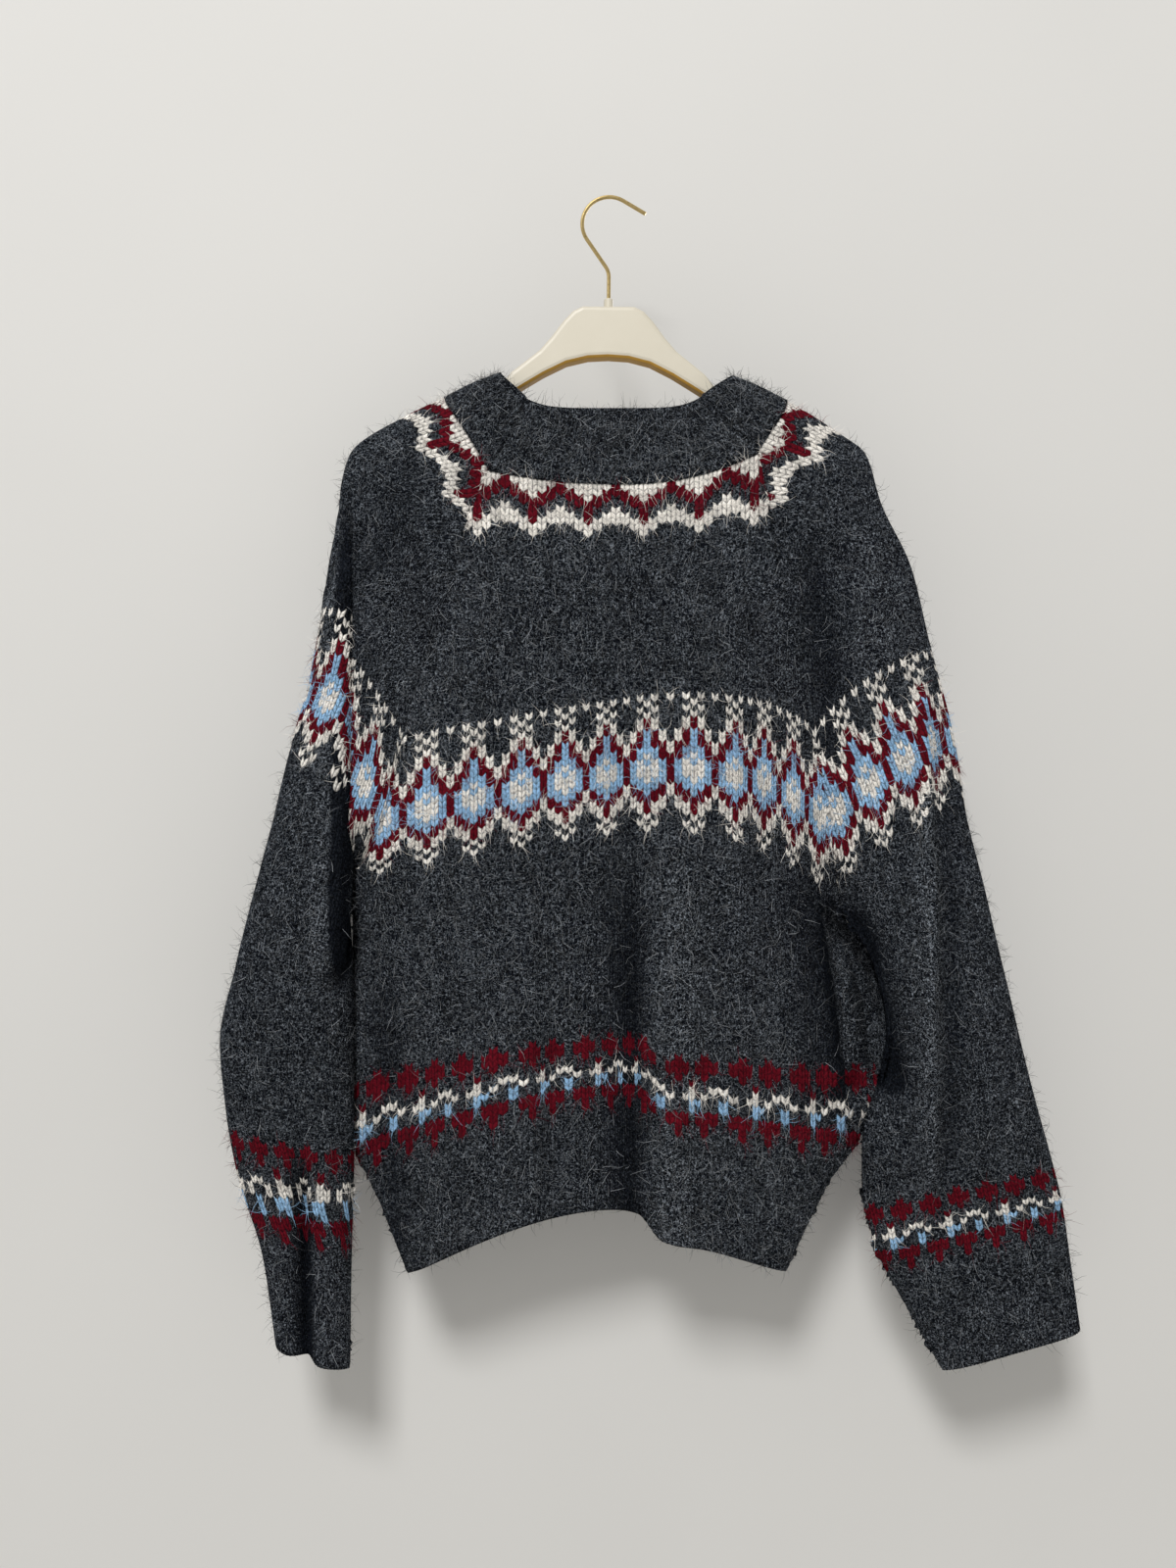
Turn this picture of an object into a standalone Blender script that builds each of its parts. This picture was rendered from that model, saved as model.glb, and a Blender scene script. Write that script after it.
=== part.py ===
"""Knitted raglan cardigan on a moulded shop hanger.

Frame: +Z up, the back of the garment faces -Y, and the origin is the inner top of
the hook, where the hanger hangs. The wearer's left is at -X.

Every course (knitted row) is a ring of cloth: back, sleeve, front, front, sleeve.
Short tables place a few named courses, the ring between them is worked out from
those, the folds are added, and the ring is cut into the pieces that a maker sews.
Rows are counted down from the neck: the neckband is above row 0, the raglan yoke
runs to the underarm row, and the body and the sleeves go on below it.
All sizes are in millimetres until the mesh is made.
"""

import math

import bmesh
import bpy
from mathutils import Matrix, Vector
from mathutils.kdtree import KDTree

MM = 0.001

# Cloth
CLOTH = 3.0                 # one layer of stranded knitting
NECKBAND_CLOTH = 5.0        # the neckband is folded double
SEAM_GAP = 0.3
SEAM_MATCH = 0.05           # seam points nearer than this are one place

# Rows
NECKBAND_TOP_ROW = -12
NECK_ROW = 0
UNDERARM_ROW = 60
SIDE_START_ROW = 63         # from here down the sleeve and the body hang apart
HEM_ROW = 117
CUFF_ROW = 145

YOKE_ROWS = (0, 6, 12, 15, 21, 29, 38, 46, 54, 60)
BODY_ROWS = YOKE_ROWS + (63, 66, 71, 76, 82, 89, 96, 106, 117)
SLEEVE_ROWS = YOKE_ROWS + (63, 66, 71, 77, 85, 94, 103, 112, 121, 133, 145)
NECKBAND_ROWS = (-12, -6, 0)

# Spaces between columns of each piece
BACK_COLUMNS = 25
FRONT_COLUMNS = 13
SLEEVE_COLUMNS = 11         # for each half, from the seam to the top of the arm
BAND_COLUMNS = 2

# Centre front
FRONT_CENTRE_X = 4.0
BAND_WIDTH = 30.0
UNDER_BAND_WIDTH = 27.0
LAP = CLOTH + SEAM_GAP      # the over band lies on the under band
LAP_REACH = 50.0            # the over front eases up to the lap across this width

# Buttons
BUTTON_ROWS = (-6, 13, 36, 59, 80, 101)
BUTTON_RADIUS = 9.5
BUTTON_THICKNESS = 3.6
BUTTON_DISH = 0.8
BUTTON_EDGE = 0.9           # the chamfer round the rim
BUTTON_SEAT = 0.5           # clearance off the knitting

BODY_ROUNDING = 2.6         # exponents of the rings' rounded ends
SLEEVE_ROUNDING = 2.3
SLEEVE_CLIMB = 1.5          # how soon a sleeve's course rises from its inner edge
SIDE_SWAY_POWER = 4
FOLD_FADE_IN = 0.3          # parts of a fold's length over which it comes and goes
FOLD_FADE_OUT = 0.12
EDGE_EASE = 16.0            # folds fade out where a layer is nearer the mid plane
SAMPLES = 240               # points along a course before it is evened out

# Hanger and hook
HANGER_TILT = math.radians(0.6)
HANGER_DEPTH = 17.0
HANGER_EDGE = 4.0
HOOK_RADIUS = 23.0
WIRE_RADIUS = 1.65
HOOK_TOP_ANGLE = 60.0       # degrees, where the straight tip leaves the arc
HOOK_TURN_ANGLE = 215.0     # where the arc runs out into the shank
HOOK_TIP_LENGTH = 22.0
SHANK_LENGTH = 28.0
SHANK_BEND_RADIUS = 15.5
STEM_END_Z = -91.0
BOSS_RADIUS = 3.9
BOSS_TOP_Z = -85.0
BOSS_BASE_Z = -92.7
BOSS_CLEARANCE = 0.3


def table(header, rows):
    """A table as a dictionary of columns."""
    return {name: [row[i] for row in rows] for i, name in enumerate(header.split())}


# The two sleeves. inner is the raglan seam down to the underarm row and the
# underarm line below it, outer is the top of the shoulder and the outside of the
# arm, depth is half the sleeve's thickness from back to front, and sway moves the
# hanging sleeve off the mid plane, towards the back where it is below 0.
LEFT_SLEEVE = table("row inner_x inner_z outer_x outer_z depth sway", [
    (-12,  -71, -175,  -91, -150, 22, 0),
    (0,   -101, -237, -139, -170, 28, 0),
    (12,  -122, -292, -178, -189, 31, 0),
    (20,  -135, -343, -218, -218, 32, 0),
    (30,  -156, -404, -232, -284, 33, 0),
    (38,  -170, -452, -242, -342, 34, 0),
    (48,  -184, -514, -252, -410, 36, 0),
    (54,  -198, -550, -262, -445, 37, 0),
    (60,  -219, -582, -271, -482, 38, 0),
    (63,  -221.5, -596, -276, -504, 38, -1),
    (66,  -221.5, -608, -280, -526, 38, -6),
    (71,  -220, -628, -288, -560, 38, -12),
    (77,  -218, -652, -298, -598, 38, -13),
    (85,  -217, -684, -310, -645, 37, -12),
    (100, -217, -746, -324, -712, 33, -11),
    (112, -217, -795, -320, -768, 30, -8),
    (121, -218, -832, -312, -819, 28, -5),
    (133, -221, -911, -291, -893, 26, 0),
    (145, -222, -990, -280, -967, 25, 0)])

RIGHT_SLEEVE = table("row inner_x inner_z outer_x outer_z depth sway", [
    (-12,   78, -173,  102, -153, 22, 0),
    (0,    122, -223,  149, -173, 28, 0),
    (12,   133, -281,  200, -205, 31, 0),
    (15,   136, -299,  214, -216, 31, 0),
    (21,   144, -338,  228, -260, 31, 0),
    (29,   153, -389,  253, -313, 31, 0),
    (38,   165, -447,  269, -378, 31, 0),
    (48,   178, -513,  287, -446, 31, 0),
    (54,   185, -553,  294, -484, 31, 0),
    (60,   193, -592,  299, -521, 31, 0),
    (63,   200.5, -602,  303, -540, 31, -1),
    (66,   208, -615,  306, -557, 31, -6),
    (71,   218, -637,  312, -586, 31, -11),
    (77,   228, -666,  320, -622, 30, -12),
    (85,   234, -707,  331, -667, 29, -12),
    (94,   226, -751,  343, -716, 28, -11),
    (103,  214, -792,  355, -761, 26, -9),
    (112,  215, -838,  368, -803, 25, -4),
    (121,  225, -883,  380, -846, 23, 0),
    (133,  254, -940,  388, -900, 21, 0),
    (145,  283, -991,  396, -956, 20, 0)])

# The side seams below the underarm.
SIDES = table("row left_x left_z right_x right_z", [
    (60,  -219, -582, 193, -592),
    (63,  -216.5, -597, 196, -606),
    (66,  -217, -611, 206, -620),
    (71,  -218, -636, 220, -642),
    (76,  -219.5, -661, 230, -668),
    (82,  -220, -698, 237, -702),
    (89,  -219, -744, 233, -739),
    (96,  -217, -793, 218, -786),
    (106, -193, -852, 181, -840),
    (117, -170, -908, 149, -905)])

# The middle of the back and of the front. depth is half the body's thickness,
# edge is the half thickness left at the seams, arch shapes how a course falls
# away towards them, shift lowers the right half of the back beside its centre
# fold, drop lowers the front's raglan seams, and sway moves the side seams off
# the mid plane, behind the sleeves.
MIDDLE = table("row back_z front_z depth edge arch shift drop sway", [
    (-12, -185, -231, 25, 20, 5.0, 0, 16, 0),
    (0,   -249, -292, 31, 27, 2.2, 0, 26, 0),
    (12,  -293, -331, 34, 30, 2.0, 0, 22, 0),
    (48,  -485, -496, 37, 30, 1.6, 0, 7, 0),
    (55,  -523, -532, 37, 20, 1.6, 1, 3, 0),
    (60,  -550, -556, 37, 3, 1.6, 2, 0, 0),
    (63,  -565, -571, 37, 0, 1.6, 3, 0, 1),
    (66,  -581, -586, 37, 0, 1.6, 4, 0, 6),
    (71,  -607, -611, 37, 0, 1.6, 6, 0, 11),
    (76,  -633, -637, 37, 0, 1.6, 8, 0, 11),
    (95,  -732, -735, 36, 0, 1.6, 15, 0, 10),
    (106, -790, -792, 34, 0, 1.6, 16, 0, 4),
    (117, -847, -848, 32, 0, 1.6, 16, 0, 0)])
SHIFT_X = 24.0
SHIFT_REACH = 20.0

# Folds, as soft ridges (lift > 0) and troughs (lift < 0) along a line.
FOLD_COLUMNS = "name top_x top_z bottom_x bottom_z width lift"
BACK_FOLDS = table(FOLD_COLUMNS, [
    ("centre trough",      18, -505,   18, -960, 18, -13),
    ("centre ridge",       54, -500,   52, -960, 20, 10),
    ("left side trough", -190, -610, -176, -960, 14, -8),
    ("right broad trough", 158, -530, 188, -800, 26, -8),
    ("right side trough", 176, -590,  203, -760, 11, -8),
    ("left hollow",      -158, -225, -190, -330, 18, -5),
    ("right shoulder trough", 166, -270, 186, -500, 20, -9),
    ("right shoulder ridge",  212, -250, 226, -420, 15, 4),
    ("left sleeve crease", -217, -275, -221, -590, 8, -17),
    ("left cuff crease", -256, -770, -252, -1040, 8, -17),
    ("right sleeve ridge", 252, -480,  256, -790, 9, 4)])
FRONT_FOLDS = table(FOLD_COLUMNS, [
    ("left trough",      -92, -520,  -84, -960, 20, -11),
    ("left ridge",      -132, -520, -128, -960, 20, 8),
    ("right trough",      96, -500,  104, -960, 20, -12),
    ("right ridge",      140, -540,  136, -960, 18, 7),
    ("left sleeve crease", -219, -290, -222, -590, 9, -13),
    ("right sleeve crease", 196, -300, 205, -580, 12, -10),
    ("left cuff crease", -250, -780, -248, -1040, 10, -9),
    ("right cuff trough", 300, -780,  330, -1040, 14, -7)])

# The hanger's right half, from the top of the plate out along the shoulder and
# back under the arch.
HANGER_TOP = [(22, -93), (30, -97), (38, -105.5), (48, -119), (58, -130.5),
              (70, -140), (82, -149.5), (92, -162), (118, -174.5), (145, -186),
              (172, -198.5), (192, -209), (199, -215)]
HANGER_UNDER = [(200, -223), (194, -227), (172, -217.5), (145, -204), (118, -190.5),
                (92, -175), (77, -165), (54, -151), (35, -141.5), (17, -137), (0, -136)]

CHARCOAL = (0.035, 0.039, 0.047, 1.0)
CREAM = (0.80, 0.74, 0.61, 1.0)
BRASS = (0.55, 0.45, 0.22, 1.0)
BUTTON_COLOUR = (0.10, 0.085, 0.075, 1.0)


# ---------------------------------------------------------------- curves

def read(columns, name, row):
    """Value of a column at a row, on a smooth curve that never overshoots."""
    xs, ys = columns["row"], columns[name]
    if row <= xs[0]:
        return ys[0]
    if row >= xs[-1]:
        return ys[-1]
    i = next(k for k in range(len(xs) - 1) if xs[k] <= row <= xs[k + 1])
    slopes = [(ys[k + 1] - ys[k]) / (xs[k + 1] - xs[k]) for k in range(len(xs) - 1)]

    def tangent(k):
        if k == 0 or k == len(xs) - 1:
            return slopes[min(k, len(slopes) - 1)]
        before, after = slopes[k - 1], slopes[k]
        return 0.0 if before * after <= 0 else 2 * before * after / (before + after)

    span = xs[i + 1] - xs[i]
    t = (row - xs[i]) / span
    return ((2 * t**3 - 3 * t**2 + 1) * ys[i] + (t**3 - 2 * t**2 + t) * span * tangent(i)
            + (3 * t**2 - 2 * t**3) * ys[i + 1] + (t**3 - t**2) * span * tangent(i + 1))


def smoothstep(t):
    t = max(0.0, min(1.0, t))
    return t * t * (3 - 2 * t)


def resample(points, count):
    """count + 1 points evenly spaced along a polyline."""
    lengths = [0.0]
    for a, b in zip(points, points[1:]):
        lengths.append(lengths[-1] + (b - a).length)
    result, k = [], 0
    for i in range(count + 1):
        target = lengths[-1] * i / count
        while k < len(points) - 2 and lengths[k + 1] < target:
            k += 1
        step = lengths[k + 1] - lengths[k]
        t = (target - lengths[k]) / step if step else 0.0
        result.append(points[k].lerp(points[k + 1], min(1.0, max(0.0, t))))
    return result


# ---------------------------------------------------------------- courses

def fold_lift(folds, x, z):
    """Height of the folds at a place on a layer, outward positive."""
    total = 0.0
    for k in range(len(folds["name"])):
        top_z, bottom_z = folds["top_z"][k], folds["bottom_z"][k]
        along = (top_z - z) / (top_z - bottom_z)
        if not 0.0 < along < 1.0:
            continue
        line_x = folds["top_x"][k] + (folds["bottom_x"][k] - folds["top_x"][k]) * along
        across = (x - line_x) / folds["width"][k]
        fade = smoothstep(along / FOLD_FADE_IN) * smoothstep((1.0 - along) / FOLD_FADE_OUT)
        total += folds["lift"][k] * fade * math.exp(-across * across)
    return total


def on_layer(face, x, z, depth):
    """A point of the back (face -1) or the front (face +1) with its folds."""
    folds = BACK_FOLDS if face < 0 else FRONT_FOLDS
    lift = fold_lift(folds, x, z) * smoothstep(depth / EDGE_EASE)
    return Vector((x, face * (depth + lift), z))


def rounded(t, exponent):
    return (1.0 - min(1.0, t) ** exponent) ** (1.0 / exponent)


def side_points(row, face):
    """Where a course's body part begins and ends: raglan seams, then side seams."""
    if row <= UNDERARM_ROW:
        drop = read(MIDDLE, "drop", row) if face > 0 else 0.0
        return ((read(LEFT_SLEEVE, "inner_x", row), read(LEFT_SLEEVE, "inner_z", row) - drop),
                (read(RIGHT_SLEEVE, "inner_x", row), read(RIGHT_SLEEVE, "inner_z", row) - drop))
    return ((read(SIDES, "left_x", row), read(SIDES, "left_z", row)),
            (read(SIDES, "right_x", row), read(SIDES, "right_z", row)))


def body_course(row, face):
    """The back's or the fronts' part of a course, from left to right."""
    (left_x, left_z), (right_x, right_z) = side_points(row, face)
    mid_x, half = (left_x + right_x) / 2, (right_x - left_x) / 2
    mid_z = read(MIDDLE, "back_z" if face < 0 else "front_z", row)
    depth, edge = read(MIDDLE, "depth", row), read(MIDDLE, "edge", row)
    arch, sway = read(MIDDLE, "arch", row), read(MIDDLE, "sway", row)
    shift = read(MIDDLE, "shift", row) if face < 0 else 0.0
    points = []
    for i in range(SAMPLES + 1):
        t = math.sin(math.pi * (i / SAMPLES - 0.5))
        x = mid_x + half * t
        side_z = left_z if t < 0 else right_z
        lowered = shift * smoothstep((x - SHIFT_X) / SHIFT_REACH)
        z = mid_z - lowered + (side_z - mid_z + lowered) * abs(t) ** arch
        point = on_layer(face, x, z, edge + (depth - edge) * rounded(abs(t), BODY_ROUNDING))
        point.y += sway * abs(t) ** SIDE_SWAY_POWER
        points.append(point)
    return points


def sleeve_half(sleeve, row, face):
    """A sleeve's part of a course, from its seam or underarm to the top of the arm."""
    drop = read(MIDDLE, "drop", row) if face > 0 else 0.0
    inner_x, inner_z = read(sleeve, "inner_x", row), read(sleeve, "inner_z", row) - drop
    outer_x, outer_z = read(sleeve, "outer_x", row), read(sleeve, "outer_z", row)
    depth, edge = read(sleeve, "depth", row), read(MIDDLE, "edge", row)
    widest = 0.5 * (1.0 - edge / depth)
    flat = []
    for i in range(SAMPLES + 1):
        t = 0.5 - 0.5 * math.cos(math.pi * i / SAMPLES)
        if t >= widest:
            half_depth = depth * rounded((t - widest) / (1.0 - widest), SLEEVE_ROUNDING)
        else:
            half_depth = edge + (depth - edge) * rounded((widest - t) / widest, SLEEVE_ROUNDING)
        guess_z = inner_z + (outer_z - inner_z) * t
        flat.append(on_layer(face, inner_x + (outer_x - inner_x) * t, guess_z, half_depth))
    travelled = [0.0]
    for a, b in zip(flat, flat[1:]):
        travelled.append(travelled[-1] + (b - a).xy.length)
    for point, distance in zip(flat, travelled):
        climb = 1.0 - (1.0 - distance / travelled[-1]) ** SLEEVE_CLIMB
        point.z = inner_z + (outer_z - inner_z) * climb
        point.y += read(sleeve, "sway", row)
    return flat


def sleeve_course(sleeve, row):
    """Back half out to the top of the arm, then the front half back in."""
    back = resample(sleeve_half(sleeve, row, -1), SLEEVE_COLUMNS)
    front = resample(sleeve_half(sleeve, row, 1), SLEEVE_COLUMNS)
    return back + front[-2::-1]


def between(points, start_x, end_x, count):
    """The stretch of a left-to-right course between two x places, resampled."""
    inside = [p for p in points if start_x < p.x < end_x]

    def crossing(x):
        for a, b in zip(points, points[1:]):
            if a.x <= x <= b.x and b.x > a.x:
                return a.lerp(b, (x - a.x) / (b.x - a.x))
        return points[0] if x < points[0].x else points[-1]

    return resample([crossing(start_x)] + inside + [crossing(end_x)], count)


def lapped(points):
    """The over front, lifted towards its edge to lie on the under band."""
    for p in points:
        p.y += LAP * (1.0 - smoothstep((p.x - FRONT_CENTRE_X - BAND_WIDTH / 2) / LAP_REACH))
    return points


def front_course(row, part):
    """left, right, under or over part of the fronts' course."""
    whole = body_course(row, 1)
    left_edge, right_edge = FRONT_CENTRE_X - BAND_WIDTH / 2, FRONT_CENTRE_X + BAND_WIDTH / 2
    if part == "left":
        return between(whole, whole[0].x, left_edge, FRONT_COLUMNS)
    if part == "under":
        return between(whole, left_edge, left_edge + UNDER_BAND_WIDTH, BAND_COLUMNS)
    if part == "over":
        return lapped(between(whole, left_edge, right_edge, BAND_COLUMNS))
    return lapped(between(whole, right_edge, whole[-1].x, FRONT_COLUMNS))


def neckband_course(row):
    """Once round the neck, from the under band's edge to the over band's edge."""
    left_front = front_course(row, "left")[::-1]
    left = sleeve_course(LEFT_SLEEVE, row)[::-1]
    back = resample(body_course(row, -1), BACK_COLUMNS)
    right = sleeve_course(RIGHT_SLEEVE, row)
    right_front = front_course(row, "right")[::-1]
    return left_front + left[1:] + back[1:] + right[1:] + right_front[1:]


# ---------------------------------------------------------------- cloth walls

class Panel:
    """A grid of mid-surface points, a row for each course, and their normals."""

    def __init__(self, name, rows, course, outward, closed_from=None, thickness=CLOTH):
        self.name, self.thickness, self.outward = name, thickness, outward
        self.closed_from = closed_from
        self.grid = [course(row) for row in rows]
        self.normals = [[self.normal(i, j) for j in range(len(self.grid[i]))]
                        for i in range(len(self.grid))]

    def normal(self, i, j):
        grid, last_row, last = self.grid, len(self.grid) - 1, len(self.grid[i]) - 1
        down = grid[min(i + 1, last_row)][j] - grid[max(i - 1, 0)][j]
        if self.is_closed(i) and j in (0, last):
            along = grid[i][1] - grid[i][last - 1]
        else:
            along = grid[i][min(j + 1, last)] - grid[i][max(j - 1, 0)]
        return (down.cross(along) * self.outward).normalized()

    def is_closed(self, i):
        return self.closed_from is not None and i >= self.closed_from

    def border(self):
        """Grid places on the panel's edges."""
        last_row = len(self.grid) - 1
        for i, course in enumerate(self.grid):
            for j in range(len(course)):
                on_side = j in (0, len(course) - 1) and not self.is_closed(i)
                if i in (0, last_row) or on_side:
                    yield i, j


def share_normals(panels):
    """Panels that meet at a seam take one normal there, so their edges run parallel."""
    places = [(panel, i, j) for panel in panels for i, j in panel.border()]
    own = [panel.normals[i][j] for panel, i, j in places]
    tree = KDTree(len(places))
    for k, (panel, i, j) in enumerate(places):
        tree.insert(panel.grid[i][j], k)
    tree.balance()
    for panel, i, j in places:
        shared = Vector()
        for _, k, _ in tree.find_range(panel.grid[i][j], SEAM_MATCH):
            shared += own[k]
        panel.normals[i][j] = shared.normalized()


def trimmed(panel):
    """The grid with its edges drawn in by half the gap that is left at a seam."""
    grid = [[p.copy() for p in course] for course in panel.grid]
    source, last_row = panel.grid, len(grid) - 1

    def draw_in(i, j, inside, before, after):
        along = (after - before).normalized()
        inward = inside - source[i][j]
        inward -= along * inward.dot(along)
        inward -= panel.normals[i][j] * inward.dot(panel.normals[i][j])
        grid[i][j] += inward.normalized() * SEAM_GAP / 2

    for i, course in enumerate(source):
        above, below = source[max(i - 1, 0)], source[min(i + 1, last_row)]
        last = len(course) - 1
        if not panel.is_closed(i):
            draw_in(i, 0, course[1], above[0], below[0])
            draw_in(i, last, course[last - 1], above[-1], below[-1])
    for i, neighbour in ((0, 1), (last_row, last_row - 1)):
        course = source[i]
        for j in range(len(course)):
            before, after = course[max(j - 1, 0)], course[min(j + 1, len(course) - 1)]
            draw_in(i, j, source[neighbour][j], before, after)
    return grid


def cloth_wall(panel, offset=0.0):
    """One closed wall of even thickness on a panel's grid."""
    grid = trimmed(panel)
    mesh = bmesh.new()
    skins = []
    for side in (0.5, -0.5):
        reach = offset + side * panel.thickness
        skins.append([[mesh.verts.new((p + n * reach) * MM) for p, n in zip(*pair)]
                      for pair in zip(grid, panel.normals)])
    outer, inner = skins
    last_row = len(grid) - 1
    if panel.closed_from is not None:
        for skin in skins:
            for i in range(panel.closed_from, last_row + 1):
                mesh.verts.remove(skin[i][-1])
                skin[i][-1] = skin[i][0]

    def quad(*around):
        corners = []
        for vertex in around:
            if vertex not in corners:
                corners.append(vertex)
        if panel.outward < 0:
            corners.reverse()
        mesh.faces.new(corners)

    def rim(a, b, c, d):
        """Two triangles across the wall, split alike on both sides of a seam."""
        quad(a, b, c)
        quad(a, c, d)

    for i in range(last_row):
        for j in range(len(grid[i]) - 1):
            quad(outer[i][j], outer[i + 1][j], outer[i + 1][j + 1], outer[i][j + 1])
            quad(inner[i][j], inner[i][j + 1], inner[i + 1][j + 1], inner[i + 1][j])
        if not (panel.is_closed(i) and panel.is_closed(i + 1)):
            rim(outer[i][0], inner[i][0], inner[i + 1][0], outer[i + 1][0])
            rim(inner[i + 1][-1], inner[i][-1], outer[i][-1], outer[i + 1][-1])
    for j in range(len(grid[0]) - 1):
        rim(outer[0][j], outer[0][j + 1], inner[0][j + 1], inner[0][j])
        rim(outer[-1][j], inner[-1][j], inner[-1][j + 1], outer[-1][j + 1])
    bmesh.ops.triangulate(mesh, faces=mesh.faces, quad_method="SHORT_EDGE")
    return finish_mesh(panel.name, mesh)


# ---------------------------------------------------------------- objects

def new_collection(name):
    collection = bpy.data.collections.new(name)
    bpy.context.scene.collection.children.link(collection)
    return collection


def material(name, colour, roughness, metallic=0.0):
    surface = bpy.data.materials.new(name)
    surface.use_nodes = True
    shader = surface.node_tree.nodes["Principled BSDF"]
    shader.inputs["Base Color"].default_value = colour
    shader.inputs["Roughness"].default_value = roughness
    shader.inputs["Metallic"].default_value = metallic
    return surface


def add_object(name, data, surface):
    thing = bpy.data.objects.new(name, data)
    data.materials.append(surface)
    PARTS.objects.link(thing)
    return thing


def finish_mesh(name, mesh):
    data = bpy.data.meshes.new(name)
    mesh.to_mesh(data)
    mesh.free()
    data.shade_smooth()
    return data


def build_cloth():
    panels = [
        Panel("back", BODY_ROWS, lambda row: resample(body_course(row, -1), BACK_COLUMNS), 1),
        Panel("front_left", BODY_ROWS, lambda row: front_course(row, "left"), -1),
        Panel("front_right", BODY_ROWS, lambda row: front_course(row, "right"), -1),
        Panel("sleeve_left", SLEEVE_ROWS, lambda row: sleeve_course(LEFT_SLEEVE, row), -1,
              SLEEVE_ROWS.index(SIDE_START_ROW)),
        Panel("sleeve_right", SLEEVE_ROWS, lambda row: sleeve_course(RIGHT_SLEEVE, row), 1,
              SLEEVE_ROWS.index(SIDE_START_ROW)),
        Panel("neckband", NECKBAND_ROWS, neckband_course, 1, None, NECKBAND_CLOTH)]
    bands = [
        Panel("front_band_left", NECKBAND_ROWS[:-1] + BODY_ROWS,
              lambda row: front_course(row, "under"), -1),
        Panel("front_band_right", NECKBAND_ROWS[:-1] + BODY_ROWS,
              lambda row: front_course(row, "over"), -1)]
    share_normals(panels)
    for panel in panels + bands:
        add_object(panel.name, cloth_wall(panel), material(panel.name, CHARCOAL, 0.95))


def build_buttons():
    """Turned discs with a dished face, flat against the over band."""
    for number, row in enumerate(BUTTON_ROWS, 1):
        above, here, below = [front_course(r, "over") for r in (row - 1, row, row + 1)]
        outward = (here[-1] - here[0]).cross(above[1] - below[1]).normalized() * -1
        if outward.y < 0:
            outward = -outward
        seat = here[1] + outward * (CLOTH / 2 + BUTTON_SEAT)
        rim, edge = BUTTON_RADIUS, BUTTON_EDGE
        profile = [(0, 0), (rim - edge, 0), (rim, edge), (rim, BUTTON_THICKNESS - edge),
                   (rim - edge, BUTTON_THICKNESS), (rim - 3 * edge, BUTTON_THICKNESS),
                   (rim - 4 * edge, BUTTON_THICKNESS - BUTTON_DISH),
                   (0, BUTTON_THICKNESS - BUTTON_DISH)]
        name = f"button_{number}"
        mesh = bmesh.new()
        corners = [mesh.verts.new((radius * MM, 0, height * MM)) for radius, height in profile[::-1]]
        for a, b in zip(corners, corners[1:]):
            mesh.edges.new((a, b))
        button = add_object(name, finish_mesh(name, mesh), material(name, BUTTON_COLOUR, 0.35))
        turn = button.modifiers.new("turned", "SCREW")
        turn.steps = turn.render_steps = 20
        turn.use_merge_vertices = True
        turn.merge_threshold = 0.00001
        facing = outward.to_track_quat("Z", "Y").to_matrix().to_4x4()
        button.matrix_world = Matrix.Translation(seat * MM) @ facing


def hanger_outline():
    """The whole outline, the left half mirrored from the right one."""
    right = HANGER_TOP + HANGER_UNDER
    left = [(-x, z) for x, z in reversed(right[:-1])]
    return right + left


def build_hanger():
    pivot = bpy.data.objects.new("hanging_point", None)
    pivot.rotation_euler = (0, HANGER_TILT, 0)
    PARTS.objects.link(pivot)

    outline = bpy.data.curves.new("hanger_body", "CURVE")
    outline.dimensions = "2D"
    outline.fill_mode = "BOTH"
    outline.extrude = (HANGER_DEPTH / 2 - HANGER_EDGE) * MM
    outline.bevel_depth = HANGER_EDGE * MM
    outline.bevel_resolution = 2
    outline.offset = -HANGER_EDGE * MM
    points = hanger_outline()
    spline = outline.splines.new("POLY")
    spline.points.add(len(points) - 1)
    for point, (x, z) in zip(spline.points, points):
        point.co = (x * MM, z * MM, 0, 1)
    spline.use_cyclic_u = True
    body = add_object("hanger_body", outline, material("hanger_body", CREAM, 0.35))
    body.rotation_euler = (math.radians(90), 0, 0)
    body.parent = pivot
    weld = body.modifiers.new("caps", "WELD")
    weld.merge_threshold = 0.00001

    mesh = bmesh.new()
    bore = WIRE_RADIUS + BOSS_CLEARANCE
    profile = [(bore, BOSS_TOP_Z), (BOSS_RADIUS - 0.8, BOSS_TOP_Z),
               (BOSS_RADIUS, BOSS_TOP_Z - 0.8), (BOSS_RADIUS, BOSS_BASE_Z), (bore, BOSS_BASE_Z)]
    corners = [mesh.verts.new((radius * MM, 0, z * MM)) for radius, z in profile]
    for a, b in zip(corners, corners[1:] + corners[:1]):
        mesh.edges.new((a, b))
    boss = add_object("hanger_boss", finish_mesh("hanger_boss", mesh),
                      material("hanger_boss", CREAM, 0.35))
    boss.parent = pivot
    turn = boss.modifiers.new("turned", "SCREW")
    turn.steps = turn.render_steps = 24
    turn.use_merge_vertices = True
    turn.merge_threshold = 0.00001

    route = hook_route()
    wire = bpy.data.curves.new("hanger_hook", "CURVE")
    wire.dimensions = "3D"
    wire.bevel_depth = WIRE_RADIUS * MM
    wire.bevel_resolution = 3
    wire.use_fill_caps = True
    spline = wire.splines.new("POLY")
    spline.points.add(len(route) - 1)
    for point, (x, z) in zip(spline.points, route):
        point.co = (x * MM, 0, z * MM, 1)
    hook = add_object("hanger_hook", wire, material("hanger_hook", BRASS, 0.3, 1.0))
    hook.parent = pivot


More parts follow.
